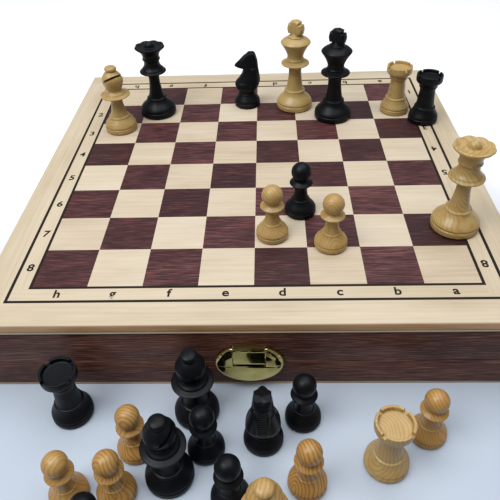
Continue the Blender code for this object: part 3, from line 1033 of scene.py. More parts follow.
@dataclass
class Frames:
    """Lid and base frames of four mitred rails each, and the bottom panel.

    Attributes:
        thickness: Rail thickness.
        rounding: Radius of the rails' long edges.
        trim: Share of the clearance taken off each mitre.
    """

    palette: Palette
    thickness: float = 9.0
    rounding: float = 0.5
    trim: float = 0.15

    def rail(self, low: float, high: float, outer: float, quarter: int) -> Shell:
        """One rail: a rounded section carried along, each end cut at 45 degrees.

        The end of a fibre lies as far in from the corner as the fibre lies in from the outer face.

        Args:
            low: Lower level.
            high: Upper level.
            outer: Distance of the outer face from the casket's middle.
            quarter: Which side, counted from the front towards +X.

        Returns:
            The rail.
        """
        section = rounded_loop(self.thickness / 2, (high - low) / 2, self.rounding)
        depth = section[:, 0] + self.thickness / 2
        reach = outer - self.trim - depth
        stations = np.linspace(-1, 1, 9)[:, None] * reach[None]
        loops = np.broadcast_to(section, (len(stations),) + section.shape)
        grid = carried(loops, stations, 0)
        grid[..., 1] += -outer + self.thickness / 2
        grid[..., 2] += (low + high) / 2
        shell = skin(grid)
        shell.grain = shell.points[:, [0, 2, 1]] + np.array([310.0 * quarter, 35.0 * quarter, 9.0 * quarter])
        return placed(shell, turn=90.0 * quarter)

    def build(self) -> list[bpy.types.Object]:
        """Make the eight rails and the bottom.

        Returns:
            The pieces.
        """
        made = []
        for prefix, body in (("lid_rail_", "lid"), ("base_rail_", "case_base")):
            low, high = box_mm(prefix + "front")
            outer = -low[1]
            for quarter, side in enumerate(("front", "right", "back", "left")):
                rail = self.rail(low[2], high[2], outer, quarter)
                made.append(make_piece(f"{prefix}{side}_veneered", [rail], [self.palette.wall], body,
                                       [prefix + side]))
        low, high = box_mm("bottom_panel")
        plate = skin(cushioned(rounded_loop(high[0], high[1], 0.6), low[2], high[2], 0.4))
        plate.grain = plate.points + np.array([900.0, 500.0, 0.0])
        made.append(make_piece("bottom_panel_plywood", [plate], [self.palette.core], "case_base",
                               ["bottom_panel"]))
        return made


@dataclass
class Clasp:
    """The oval clasp: a domed plate on each half, a sprung flap, its ears and its pin.

    Attributes:
        half_width: Half the oval's width.
        half_height: Half its height.
        slot: Half the width of the opening that the flap hangs in.
        flap_half: Half the flap's width.
        barrel: Radius of the rolled knuckle.
        bore: Radius of its hole.
        pin: Radius of the pin.
        ear: Thickness of an ear.
        ear_radius: Radius of its nose.
        stand: Clearance from the wall.
        sheet: Thickness of the back plate behind the flap.
        dome: Exponent of the dome: higher is flatter on top.
        flare: How much less the lower half stands out at the seam than at its foot, as a share.
        lean_out: How much further out the flap's lower edge hangs than its fold.
    """

    palette: Palette
    half_width: float = 24.8
    half_height: float = 19.4
    slot: float = 11.7
    flap_half: float = 11.0
    barrel: float = 2.2
    bore: float = 1.2
    pin: float = 0.9
    ear: float = 0.9
    ear_radius: float = 1.3
    stand: float = 0.3
    sheet: float = 1.3
    dome: float = 9.0
    flare: float = 0.12
    lean_out: float = 0.6

    def dome_out(self, x: Array, z: Array, depth: float) -> Array:
        """How far the dome stands out: depth times the root of one minus the oval distance to a power."""
        distance = np.clip(np.hypot(x / self.half_width, z / self.half_height), 0, 1)
        return self.stand + (depth - self.stand) * np.sqrt(np.clip(1 - distance**self.dome, 0, 1))

    def domed(self, start: float, end: float, side: int, seam: float, wall: float, depth: float,
              middle: float) -> Shell:
        """A piece of one half of the dome between two places along its width.

        A column runs from the seam to the oval's rim over the front and straight back behind. The
        places are cosines of equal angles, so that they crowd towards the oval's ends.

        Args:
            start: First place, in mm from the oval's middle.
            end: Last place.
            side: +1 above the seam, -1 below.
            seam: Level of the half's straight edge.
            wall: Y of the wall.
            depth: How far the dome stands out.
            middle: X of the oval's middle.

        Returns:
            The closed piece.
        """
        limits = np.arccos(np.clip(np.array([start, end]) / self.half_width, -1, 1))
        along = self.half_width * np.cos(np.linspace(*limits, 40))[:, None]
        top = self.half_height * np.sqrt(np.clip(1 - (along / self.half_width) ** 2, 1e-5, 1))
        share = np.sin(np.linspace(0, TAU / 4, 30))[None]
        rise = top * share
        out = self.dome_out(along, rise, depth)
        if side < 0:
            out = self.stand + (out - self.stand) * (1 - self.flare * (1 - rise / self.half_height))
        out[:, 0] -= 0.25
        front = np.stack([along + 0 * rise, wall - out, seam + side * rise], -1)
        back = front[:, ::-1].copy()
        back[..., 1] = wall - self.stand
        loops = np.concatenate([front, back[:, 1:]], 1)
        ends = [np.broadcast_to(loops[end].mean(0), loops[end].shape)[None] for end in (0, -1)]
        shell = skin(np.concatenate([ends[0], loops, ends[1]]))
        shell.points[:, 0] += middle
        return shell

    def rod(self, centre: tuple[float, float, float], radius: float, half: float,
            hole: float = 0.0) -> Shell:
        """A rod along X with rounded ends, bored through if a hole is given.

        Args:
            centre: Its middle.
            radius: Its radius.
            half: Half its length.
            hole: Radius of the bore, or nothing.

        Returns:
            The rod.
        """
        bevel = min(0.3, radius / 3)
        angles = even_angles(40)
        if hole:
            section = rounded_loop((radius - hole) / 2, half, bevel, 3) + np.array([(radius + hole) / 2, 0])
            grid = revolved(section, angles)
            shell = skin(grid, ring=True)
        else:
            loop = np.stack([radius * np.cos(angles), radius * np.sin(angles)], -1)
            shell = skin(cushioned(loop, -half, half, bevel))
        shell.points = shell.points[:, [2, 0, 1]] + np.asarray(centre)
        return shell.outward()

    def ears(self, middle: float, wall: float, axis_y: float, axis_z: float) -> list[Shell]:
        """Two ears: a rounded tongue that leans out from the plate and wraps the pin.

        Args:
            middle: X of the clasp's middle.
            wall: Y of the wall.
            axis_y: Y of the pin.
            axis_z: Level of the pin.

        Returns:
            The ears.
        """
        turn = np.linspace(-0.25 * math.pi, 1.0 * math.pi, 16)
        nose = np.stack([axis_y - self.ear_radius * np.cos(turn), axis_z + self.ear_radius * np.sin(turn)],
                        -1)
        root = np.array([[wall - self.stand, axis_z - 1.2], [wall - self.stand, 36.2], [wall - 3.4, 36.2]])
        outline = np.vstack([nose, root])
        made = []
        for side in (-1, 1):
            low, high = sorted((middle + side * self.slot, middle + side * (self.slot + self.ear)))
            grid = cushioned(outline, low, high, 0.25, 3)
            shell = skin(grid[..., [2, 0, 1]])
            made.append(shell.outward())
        return made

    def build(self) -> list[bpy.types.Object]:
        """Press, roll and pin the clasp.

        Returns:
            The pieces.
        """
        low, _ = box_mm("clasp_lid_plate")
        base_low, base_high = box_mm("clasp_base_plate")
        middle, wall = (base_low[0] + base_high[0]) / 2, base_high[1] + self.stand
        depth = wall - base_low[1]
        pin_low, pin_high = box_mm("clasp_pin")
        axis = (pin_low + pin_high) / 2
        seam = low[2]
        brass = [self.palette.brass]
        shoulders = [self.domed(sign * self.half_width * 0.9999, sign * self.slot, 1, seam, wall, depth,
                                middle)
                     for sign in (-1, 1)]
        reach = self.half_height * math.sqrt(1 - (self.slot / self.half_width) ** 2)
        sheet = rounded_loop(self.slot + 0.3, (reach - 0.2) / 2, 0.6) + np.array([middle, seam + reach / 2])
        back = skin(cushioned(sheet, wall - self.sheet, wall - self.stand, 0.2)[..., [0, 2, 1]]).outward()
        lid = make_piece("clasp_lid_plate_pressed",
                         [*shoulders, back, *self.ears(middle, wall, axis[1], axis[2])],
                         brass, "lid", ["clasp_lid_plate"])
        catch = self.domed(-self.half_width * 0.9999, self.half_width * 0.9999, -1, base_high[2], wall,
                           depth, middle)
        base = make_piece("clasp_base_plate_pressed", [catch], brass, "case_base", ["clasp_base_plate"])
        flap = make_piece("clasp_flap_rolled", self.flap(middle, axis), brass, "flap", ["clasp_flap"])
        half = (pin_high[0] - pin_low[0]) / 2
        pin = make_piece("clasp_pin_drawn", [self.rod(tuple(axis), self.pin, half)], brass, "lid",
                         ["clasp_pin"])
        return [lid, base, flap, pin]

    def flap(self, middle: float, axis: Array) -> list[Shell]:
        """The flap: a bored knuckle under a sheet that is folded over it and hangs in front.

        The sheet's outer line runs flat over the knuckle, turns a tight corner and falls to the
        lower edge, leaning out a little on the way.

        Args:
            middle: X of the flap's middle.
            axis: Centre of the pin.

        Returns:
            The sheet and the knuckle.
        """
        low, _ = box_mm("clasp_flap")
        front, bottom = axis[1] - self.barrel, low[2]
        top = axis[2] + self.barrel
        fold = np.linspace(0, TAU / 4, 6)
        radius = 0.5
        corner = np.stack([front + self.lean_out + radius * (1 - np.sin(fold)),
                           top - radius * (1 - np.cos(fold))], -1)
        foot = np.array([[front, bottom + 0.3], [front + 0.2, bottom], [front + 0.9, bottom + 0.1]])
        clear = axis[1] - self.bore - 0.08
        face = np.vstack([corner, foot, [[clear, axis[2] - 1.3], [clear, top - 0.75]]])
        start = front + self.lean_out + radius - 0.3
        ledge = np.array([[start, top], [start, top - 0.75], [axis[1] + 2.0, top - 0.75],
                          [axis[1] + 2.1, top - 0.1]])
        half = self.flap_half
        stations = np.array([-half, -half + 0.1, -half + 0.3, half - 0.3, half - 0.1, half])
        inset = np.array([0.3, 0.1, 0.0, 0.0, 0.1, 0.3])
        sheets = []
        for section in (face, ledge):
            onward = np.roll(section, -1, 0) - section
            section = np.stack([section, section + 0.06 * onward, section + 0.94 * onward], 1).reshape(-1, 2)
            centre = section.mean(0)
            loops = centre + (section[None] - centre) * (1 - inset[:, None, None] / 6.0)
            sheets.append(skin(carried(loops, (stations + middle)[:, None], 0)).outward())
        knuckle = self.rod((middle, axis[1], axis[2]), self.barrel, half, self.bore)
        return [*sheets, knuckle]


@dataclass
class Hinges:
    """Two brass butt hinges on the back wall, with pins and pan-head screws.

    Attributes:
        thickness: Leaf thickness.
        barrel: Radius of the knuckles.
        bore: Radius of their hole.
        knuckle: Half the length of the middle knuckle.
        gap: Clearance between knuckles.
        head: Radius of a screw head.
        shank: Radius of a screw shank.
        slot_half: Half the width of a screw's slot.
    """

    palette: Palette
    thickness: float = 1.2
    barrel: float = 2.2
    bore: float = 1.2
    knuckle: float = 5.0
    gap: float = 0.3
    head: float = 1.9
    shank: float = 0.8
    slot_half: float = 0.25

    def leaf(self, node: str, side: int, clasp: Clasp) -> list[Shell]:
        """One leaf: a plate with round corners, tongues to its knuckles, and the knuckles.

        Args:
            node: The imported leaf.
            side: +1 above the seam, -1 below.
            clasp: Lends its rod.

        Returns:
            The shells.
        """
        low, high = box_mm(node)
        pin_low, pin_high = box_mm(node.replace("_lid_leaf", "_pin").replace("_base_leaf", "_pin"))
        axis = (pin_low + pin_high) / 2
        near, far = low[1], low[1] + self.thickness
        half, middle = (high[0] - low[0]) / 2, (high[0] + low[0]) / 2
        inner = axis[2] + side * (self.barrel + 0.4)
        outer = high[2] if side > 0 else low[2]
        spans = [(-self.knuckle, self.knuckle)] if side > 0 else [
            (-half, -self.knuckle - self.gap), (self.knuckle + self.gap, half)]
        outline = rounded_loop(half, abs(outer - inner) / 2, 1.2) + np.array([middle, (outer + inner) / 2])
        shells = [skin(cushioned(outline, near, far, 0.2)[..., [0, 2, 1]]).outward()]
        for start, end in spans:
            centre, reach = middle + (start + end) / 2, (end - start) / 2
            root = axis[2] + side * (self.barrel + 1.2)
            foot = axis[2] + side * 0.2
            tongue = rounded_loop(reach, abs(root - foot) / 2, 0.1) + np.array([centre, (root + foot) / 2])
            shells.append(skin(cushioned(tongue, near, far, 0.1)[..., [0, 2, 1]]).outward())
            shells.append(clasp.rod((centre, axis[1], axis[2]), self.barrel, reach, self.bore))
        return shells

    def screw(self, node: str, turn: float) -> Shell:
        """A pan-head screw, slotted: inside the slot's parallel walls the head drops to its floor.

        Args:
            node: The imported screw.
            turn: Angle of the slot in degrees.

        Returns:
            The screw, its axis along Y.
        """
        low, high = box_mm(node)
        length = high[1] - low[1]
        floor = length - 0.5
        profile = turning([[(0, 0), (self.shank, 0.6)], [(self.shank, length - 0.95)],
                           [(self.head, length - 0.95)], [(self.head, length - 0.7), (1.2, length - 0.1),
                                                          (0, length)]], 40, 0.06)
        grid = notched(revolved(profile, even_angles(4)), profile, 2, self.slot_half, floor, 0.0)
        shell = skin(placed_grid(grid, turn)[..., [0, 2, 1]])
        shell.points += np.array([(low[0] + high[0]) / 2, low[1], (low[2] + high[2]) / 2])
        return shell.outward()

    def build(self) -> list[bpy.types.Object]:
        """Make both hinges.

        Returns:
            The pieces.
        """
        clasp, brass, made = Clasp(self.palette), [self.palette.brass], []
        for label in ("left", "right"):
            for part, body, side in (("lid", "lid", 1), ("base", "case_base", -1)):
                node = f"hinge_{label}_{part}_leaf"
                made.append(make_piece(node + "_rolled", self.leaf(node, side, clasp), brass, body, [node]))
            node = f"hinge_{label}_pin"
            low, high = box_mm(node)
            rod = clasp.rod(tuple((low + high) / 2), (high[2] - low[2]) / 2, (high[0] - low[0]) / 2)
            made.append(make_piece(node + "_drawn", [rod], brass, "case_base", [node]))
        for number in range(1, 9):
            node = f"hinge_screw_{number}"
            made.append(make_piece(node + "_turned", [self.screw(node, 37.0 * number)], brass,
                                   "lid" if number < 5 else "case_base", [node]))
        return made


# ---------------------------------------------------------------------------------------------
# Men
# ---------------------------------------------------------------------------------------------
def placed_grid(grid: Array, turn: float) -> Array:
    """Turn a grid about Z by degrees."""
    cosine, sine = math.cos(math.radians(turn)), math.sin(math.radians(turn))
    return grid @ np.array([[cosine, sine, 0], [-sine, cosine, 0], [0, 0, 1.0]])


def notched(grid: Array, profile: Array, count: int, half: float, floor: float, inner: float) -> Array:
    """Cut parallel-walled notches into a turned rim.

    Columns are set again at each level, so that the notch's walls stay a fixed distance from its
    middle line: the wall's angle is the arcsine of that distance over the radius. Inside a notch,
    outside the inner radius, whatever stands above the floor is pressed down to it.

    Args:
        grid: Not used.
        profile: Radius and height of each level.
        count: How many notches.
        half: Half the width of a notch.
        floor: Height of its floor.
        inner: Radius inside which nothing is cut.

    Returns:
        The new grid.
    """
    inside = np.linspace(-1, 1, 5)
    beyond = np.linspace(0, 1, 18)[1:-1]
    share = np.concatenate([inside, 1 + np.concatenate([[0.015], beyond, [0.985]])])
    radius = profile[:, :1]
    wall = np.arcsin(np.clip(half / np.maximum(radius, half), 0, 0.999))
    sector = TAU / count
    past = np.clip(share - 1, 0, 1)
    angle = np.where(share <= 1, share * wall, wall + past * (sector - 2 * wall))
    angles = np.concatenate([angle + sector * number for number in range(count)], 1)
    cut = np.tile(share <= 1, count)
    height = np.broadcast_to(profile[:, 1:], angles.shape).copy()
    low = cut[None] & (radius >= inner) & (height > floor)
    height = np.where(low, floor + (height - floor) * 0.02, height)
    return np.stack([radius * np.cos(angles), radius * np.sin(angles), height], -1)


class Kind(Enum):
    """The six kinds of men."""

    PAWN = "pawn"
    ROOK = "rook"
    KNIGHT = "knight"
    BISHOP = "bishop"
    QUEEN = "queen"
    KING = "king"


# Lathe profiles as runs of (radius, height): each run starts where the one before ended, and the
# joints between runs are the crisp corners left by the turning tool.
PAWN = [[(0, 0), (11.6, 0)], [(12.6, 0.9)], [(12.6, 3.9)], [(12.05, 4.2), (12.05, 4.6)],
        [(12.4, 5.3), (11.6, 7.2), (10.0, 9.2), (8.5, 11.0), (7.6, 12.3),
         (7.2, 13.0)], [(7.3, 13.7)], [(6.5, 14.0)],
        [(5.7, 16.5), (5.05, 20.5), (5.1, 24.0), (6.0, 26.6), (8.4, 27.9)], [(9.2, 28.3)], [(9.1, 28.9)],
        [(7.2, 30.2), (6.0, 31.3), (5.7, 32.2)],
        [(6.5, 33.6), (7.6, 35.8), (7.95, 38.2), (7.5, 41.0), (5.9, 43.5), (3.2, 45.5), (0, 46.1)]]
ROOK = [[(0, 0), (13.5, 0)], [(14.5, 0.9)], [(14.5, 4.4)], [(13.9, 4.75), (13.9, 5.2)],
        [(14.3, 5.9), (13.5, 7.9), (12.0, 10.3), (11.0, 12.4), (10.3, 14.2)], [(10.5, 15.1)], [(10.0, 15.7)],
        [(9.1, 16.0)], [(8.4, 20.5), (7.8, 27.0), (7.5, 33.0), (7.9, 35.2)], [(8.8, 35.9), (8.8, 36.9)],
        [(8.5, 37.3)], [(9.4, 38.9), (11.4, 40.6), (12.4, 41.8)], [(12.5, 42.4),
                                                                   (12.5, 47.8)], [(12.3, 48.2)],
        [(10.8, 48.2)], [(10.6, 47.9), (10.3, 45.2)], [(9.7, 44.8)], [(0, 44.5)]]
BISHOP = [[(0, 0), (14.8, 0)], [(15.8, 0.9)], [(15.8, 4.6)], [(15.2, 4.95), (15.2, 5.4)],
          [(15.6, 6.1), (14.7, 8.3), (12.9, 10.8), (11.3, 12.7),
           (10.2, 14.0)], [(10.4, 14.8)], [(9.9, 15.4)],
          [(8.8, 15.7)], [(7.4, 19.4), (6.3, 25.0), (5.75, 30.0), (6.2, 33.0), (8.6, 35.1), (12.4, 36.2)],
          [(14.4, 36.8)], [(14.4, 37.7)], [(11.8, 38.5), (10.6, 38.8)], [(10.3, 39.8), (9.2, 40.5)],
          [(7.8, 41.8), (7.3, 43.4)], [(8.0, 44.4)], [(9.1, 47.6), (10.1, 50.6), (10.3, 52.8), (9.7, 55.2),
                                                      (8.1, 57.7), (5.9, 60.1), (4.7, 61.0)],
          [(5.6, 62.2), (5.8, 63.4), (4.9, 64.9)], [(3.0, 65.7), (0, 65.9)]]
QUEEN = [[(0, 0), (17.3, 0)], [(18.4, 1.0)], [(18.4, 5.0)], [(17.75, 5.4), (17.75, 5.9)],
         [(18.1, 6.7), (17.2, 8.8), (14.8, 11.3), (12.3, 13.6), (10.8, 15.6), (10.0, 16.9)], [(10.2, 17.8)],
         [(9.6, 18.3)], [(8.5, 18.6)], [(7.3, 22.2), (6.1, 29.0), (5.4, 37.0), (5.7, 41.0), (7.6, 43.6),
                                        (11.6, 45.0)],
         [(13.3, 45.6)], [(13.3, 46.5)], [(11.4, 47.6)], [(11.2, 48.6)], [(9.6, 50.2)], [(9.2, 50.7)],
         [(8.1, 52.8), (7.7, 54.8), (7.6, 56.8)], [(8.2, 57.4)], [(8.95, 58.7), (8.3, 60.1)],
         [(8.3, 62.0), (9.7, 65.4), (12.2, 68.2), (14.0, 69.5)], [(14.9, 70.4), (14.7, 71.6)],
         [(13.4, 71.9), (12.4, 71.5)], [(10.6, 70.8), (8.0, 70.4), (5.0, 70.6)],
         [(4.6, 72.4), (3.2, 74.6), (1.4, 75.8), (0, 76.0)]]
KING = [[(0, 0), (17.5, 0)], [(18.6, 1.0)], [(18.6, 5.0)], [(17.9, 5.4), (17.9, 5.9)],
        [(18.3, 6.7), (17.3, 8.9), (14.8, 11.6), (12.4, 14.1), (11.1, 16.3), (10.5, 17.9)], [(10.7, 18.9)],
        [(10.1, 19.5)], [(9.1, 19.8)], [(8.0, 24.0), (7.0, 31.0), (6.5, 38.0), (6.8, 42.0), (8.6, 44.7),
                                        (12.4, 46.1)],
        [(14.2, 46.7)], [(14.2, 47.7)], [(11.6, 48.9), (9.6, 49.9)], [(8.8, 50.2)], [(9.4, 51.1),
                                                                                     (8.7, 52.0)],
        [(8.1, 53.4), (8.2, 55.4), (9.6, 59.4), (12.4, 64.4), (14.7, 67.7)], [(15.0, 68.4), (14.7, 69.1)],
        [(12.0, 71.4), (8.5, 73.0)], [(7.5, 73.3)], [(7.8, 74.2), (6.6, 74.9)], [(5.4, 75.4), (4.9, 76.6)],
        [(3.6, 77.8), (0, 78.2)]]
KNIGHT_FOOT = [[(0, 0), (12.6, 0)], [(13.6, 0.9)], [(13.6, 4.2)], [(13.0, 4.5), (13.0, 4.9)],
               [(13.3, 5.6), (12.5, 7.6), (11.0, 9.8), (9.8, 11.6),
                (9.0, 12.7)], [(9.1, 13.5)], [(8.5, 14.2)],
               [(0, 14.6)]]

# The knight's carved part: height, nose-side reach, mane-side reach, half width
KNIGHT_SHAPE = [(13.6, -8.4, 8.4, 8.4), (15.4, -8.3, 8.8, 8.8), (18.0, -9.8, 10.4, 10.2),
                (21.0, -11.8, 12.0, 11.6),
                (24.2, -12.6, 13.2, 12.0), (26.2, -11.8, 13.5, 11.8), (30.0, -8.3, 13.2, 10.7),
                (34.6, -5.2, 12.7, 9.2), (38.4, -3.7, 12.2, 8.0), (40.8, -3.7, 12.0, 7.2), (41.4, -6.6,
                                                                                            12.0, 7.0),
                (41.8, -9.6, 11.9, 6.8), (42.5, -11.8, 11.9, 6.6), (43.8, -12.5, 11.8, 6.3),
                (45.4, -11.0, 11.6, 6.1), (47.6, -8.6, 11.4, 5.9), (50.2, -5.6, 11.1, 5.8), (52.8, -2.6,
                                                                                             10.4, 5.7),
                (54.4, -0.6, 9.8, 5.6), (55.4, 0.6, 9.2, 5.5), (56.1, 1.8, 8.4, 5.1)]

# Carving on the side of the head: rise, X and level of its middle, half length, half height, lean in radians
KNIGHT_RELIEF = [
    (0.4, 0.4, 46.4, 4.2, 3.6, 0.0),  # Cheek
    (0.8, -3.6, 50.2, 1.2, 0.9, 0.75),  # Eye
    (0.3, -3.8, 51.5, 2.4, 0.5, 0.8),  # Brow
    (-0.8, -10.6, 44.4, 0.8, 0.6, 0.7),  # Nostril
    (-0.8, -9.4, 42.8, 2.8, 0.4, 0.2),  # Mouth
    (-0.5, -6.0, 46.8, 1.8, 1.8, 0.0),  # Hollow before the cheek
    (-0.5, 5.4, 44.0, 0.9, 8.0, -0.1),  # Groove in front of the mane
]

# The king's cross, drawn about its centre
CROSS = [(-5.2, 7.2), (0.0, 8.4), (5.2, 7.2), (4.4, 4.4), (7.6, 4.9), (8.7, 0.0), (7.6, -4.9), (4.4, -4.6),
         (5.3, -6.5), (-5.3, -6.5), (-4.4, -4.6), (-7.6, -4.9), (-8.7, 0.0), (-7.6, 4.9), (-4.4, 4.4)]


@dataclass
class Man:
    """One man: a turned body with whatever the carver added, in its own place.

    Attributes:
        node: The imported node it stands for.
        turn: Which way it faces, in degrees.
        pith: Where the log's pith stood beside the man's axis, in mm.
        lean: How the log leaned to the man's axis, in degrees.
        figure: Strength of the rings, from 0 to 1.
        tone: Warmer above 0, paler below.
        steps: Points round a turned body.
        lobes: Lobes of the queen's coronet.
        lobe_steps: Points round one lobe.
        coronet: Levels between which the lobes are cut.
        rim_start: Radius at which a nick begins.
        rim_fade: Length over which it reaches its full depth.
        nick_power: Exponent of a nick: lower is rounder.
        nick_share: How far a nick draws the rim in, as a share of the radius.
        nick_drop: How far it lowers the rim.
        notch_half: Half the width of a notch in the rook's rim.
        notch_floor: Level of its floor.
        slot_half: Half the thickness of the bishop's saw cut.
        slot_height: Level of the cut at the axis.
        slot_lean: Lean of the cut in degrees.
        slot_floor: Distance of its floor from the axis.
        slot_fade: Levels between which the surface leans with the cut.
        cross_centre: Level of the middle of the king's cross.
        cross_half: Half its thickness.
        cross_edge: Exponent of its rounding: lower is squarer.
        cross_corner: Rounding of the outline's corners.
        cross_points: Points round the outline before it is thinned.
    """

    palette: Palette
    node: str
    turn: float = 0.0
    pith: tuple[float, float] = (30.0, 10.0)
    lean: float = 8.0
    figure: float = 0.5
    tone: float = 0.0
    steps: int = 84
    lobes: int = 9
    lobe_steps: int = 12
    coronet: tuple[float, float] = (60.0, 73.0)
    rim_start: float = 9.2
    rim_fade: float = 4.5
    nick_power: float = 0.75
    nick_share: float = 0.05
    nick_drop: float = 0.6
    notch_half: float = 1.3
    notch_floor: float = 45.4
    slot_half: float = 1.0
    slot_height: float = 53.0
    slot_lean: float = 30.0
    slot_floor: float = 0.5
    slot_fade: tuple[float, ...] = (44.6, 50.5, 54.2, 60.9)
    cross_centre: float = 81.6
    cross_half: float = 4.4
    cross_edge: float = 0.18
    cross_corner: float = 0.45
    cross_points: int = 300

    @property
    def kind(self) -> Kind:
        """Which of the six kinds it is."""
        return Kind(self.node.split("_")[1])

    def foot(self) -> Array:
        """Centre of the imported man's foot, in mm.

        Returns:
            Its X and Y and the level it stands on.
        """
        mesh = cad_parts[self.node].data
        points = np.zeros(len(mesh.vertices) * 3)
        mesh.vertices.foreach_get("co", points)
        points = points.reshape(-1, 3) / MM
        base = points[:, 2].min()
        sole = points[points[:, 2] < base + 3.0]
        return np.array([*((sole.min(0) + sole.max(0)) / 2)[:2], base])

    def rook(self) -> list[Shell]:
        """A tower: its rim is notched four times."""
        profile = turning(ROOK, 116)
        grid = notched(revolved(profile, even_angles(4)), profile, 4, self.notch_half, self.notch_floor,
                       10.0)
        return [skin(placed_grid(grid, 0.0))]

    def bishop(self) -> list[Shell]:
        """A mitre with a saw cut.

        Levels near the cut are tilted with it on the side it enters from, y below zero: height is
        the level plus the tangent of the lean times the distance in front of the axis, faded above
        and below. Two levels in the cut's mouth are drawn back to its floor beside the axis.

        Returns:
            The body.
        """
        profile = turning(BISHOP, 118)
        levels = profile[:, 1]
        mouth = self.slot_half / math.cos(math.radians(self.slot_lean))
        near = (levels > self.slot_height - mouth - 0.3) & (levels < self.slot_height + mouth
                                                            + 0.3) & (profile[:, 0] > 3)
        start = int(np.argmax(near))
        stop = len(near) - int(np.argmax(near[::-1]))
        reach = np.interp(self.slot_height + np.array([-mouth, -mouth, mouth, mouth]),
                          levels[start - 3:stop + 3],
                          profile[start - 3:stop + 3, 0])
        cut = np.stack([reach, self.slot_height + np.array([-mouth, -mouth + 0.02, mouth - 0.02, mouth])],
                       -1)
        rows = np.vstack([profile[:start], cut, profile[stop:]])
        angles = even_angles(self.steps)
        base = rows[:, 1:]
        above_waist = np.arange(len(rows))[:, None] > start - 40
        tilt = np.interp(base, self.slot_fade, [0, 1, 1, 0]) * above_waist
        rising = slice(int(np.argmax(levels > 44.4)), int(np.argmax(levels > 61.0)))
        sides, heights = profile[rising, 0], profile[rising, 1]
        height = base + 0 * angles
        radius = rows[:, :1] + 0 * angles
        lean = math.tan(math.radians(self.slot_lean))
        for _ in range(40):
            front = np.maximum(0.0, -radius * np.sin(angles))
            height = 0.5 * height + 0.5 * (base + tilt * lean * front)
            moved = np.interp(height, heights, sides)
            radius = np.where(tilt > 0, moved, radius)
        grid = np.stack([radius * np.cos(angles), radius * np.sin(angles), height], -1)
        inner = grid[start + 1:start + 3]
        depth = np.maximum(-inner[..., 1] - self.slot_floor, 0.0)
        inner[..., 2] -= lean * depth
        inner[..., 1] += depth
        inner[..., 0] *= 0.998
        return [skin(grid)]

    def queen(self) -> list[Shell]:
        """A coronet whose rim is drawn in between its lobes.

        Near the rim the radius shrinks, and the height drops, by one minus the absolute cosine of
        half the lobe count times the angle, so that lobes are round and the nicks between sharp.

        Returns:
            The body.
        """
        profile = turning(QUEEN, 124)
        steps = self.lobes * self.lobe_steps
        angles = (np.arange(steps) + 0.5) * TAU / steps
        grid = revolved(profile, angles)
        radius, height = profile[:, :1], profile[:, 1:]
        low, high = self.coronet
        rim = np.clip((radius - self.rim_start) / self.rim_fade, 0, 1) * (height > low) * (height < high)
        nick = 1 - np.abs(np.cos(self.lobes * angles / 2)) ** self.nick_power
        grid[..., :2] *= (1 - self.nick_share * rim * nick)[..., None]
        grid[..., 2] -= self.nick_drop * rim * nick
        return [skin(grid)]

    def king(self) -> list[Shell]:
        """A turned body under a cross: the cross's outline shrinks as it rounds over to each face.

        Returns:
            The body and the cross.
        """
        corners = np.array(CROSS + CROSS[:1], float)
        travel = np.concatenate([[0], np.cumsum(np.linalg.norm(np.diff(corners, axis=0), axis=1))])
        even = np.linspace(0, travel[-1], self.cross_points, endpoint=False)
        outline = np.stack([np.interp(even, travel, corners[:, axis]) for axis in range(2)], -1)
        outline = softened(outline, self.cross_corner, travel[-1] / self.cross_points, closed=True)[::2]
        turn = np.linspace(-TAU / 4, TAU / 4, 19)
        scale = np.cos(turn) ** self.cross_edge
        scale[[0, -1]] = 0.0
        depth = self.cross_half * np.sin(turn)
        grid = np.stack([outline[None, :, 0] * scale[:, None], depth[:, None] + 0 * outline[None, :, 0],
                         self.cross_centre + outline[None, :, 1] * scale[:, None]], -1)
        return [skin(revolved(turning(KING, 126), even_angles(self.steps))), skin(grid)]

    def knight(self) -> list[Shell]:
        """A turned foot under a carved horse's head that looks towards -X.

        A section at each height is a superellipse between the nose side and the mane side. Carving
        moves its points: a flat mane strip, slanting grooves, a cheek, an eye, a nostril, a mouth
        and two ears, each a smooth bell or step in the plane of the head's side.

        Returns:
            The foot and the head.
        """
        shape = np.array(KNIGHT_SHAPE)
        travel = np.concatenate([[0], np.cumsum(np.hypot(np.diff(shape[:, 0]), np.diff(shape[:, 1])))])
        wanted = np.linspace(0, travel[-1], 150)
        height, nose, mane, half = (np.interp(wanted, travel, shape[:, axis]) for axis in range(4))
        smooth = np.exp(-0.5 * (np.arange(-6, 7) / 1.7) ** 2)
        smooth /= smooth.sum()
        nose, mane, half = (np.convolve(np.pad(line, 6, "edge"), smooth, "valid") for line in (nose, mane,
                                                                                               half))
        angles = even_angles(112)
        cosine, sine = np.cos(angles)[None], np.sin(angles)[None]
        head = np.clip((height - 15.0) / 10.0, 0, 1)[:, None]
        block = np.clip((height - 48.0) / 4.0, 0, 1)[:, None]
        power_x, power_y = 1 - 0.28 * head - 0.2 * block, 1 - 0.22 * head - 0.2 * block
        x = ((nose + mane) / 2)[:, None] + ((mane - nose)
                                            / 2)[:, None] * np.sign(cosine) * np.abs(cosine) ** power_x
        y = half[:, None] * np.sign(sine) * np.abs(sine) ** power_y
        z = height[:, None] + 0 * x
        side = np.abs(y)
        # Chamfer from the chest up to the jaw, which leaves the flat facets of the knife
        chest = np.clip((z - 21) / 6, 0, 1) * np.clip((39.2 - z) / 4, 0, 1)
        toward_nose = np.clip((mane[:, None] - 6 - x) / np.maximum(mane[:, None] - 6 - nose[:, None], 1), 0,
                              1)
        y = y * (1 - 0.34 * chest * toward_nose**1.4)
        # Muzzle narrows towards the nose
        muzzle = np.clip((z - 39.3) / 1.5, 0, 1) * np.clip((52 - z) / 6, 0, 1) * np.clip((-x - 1) / 11, 0, 1)
        y = y * (1 - 0.42 * muzzle)

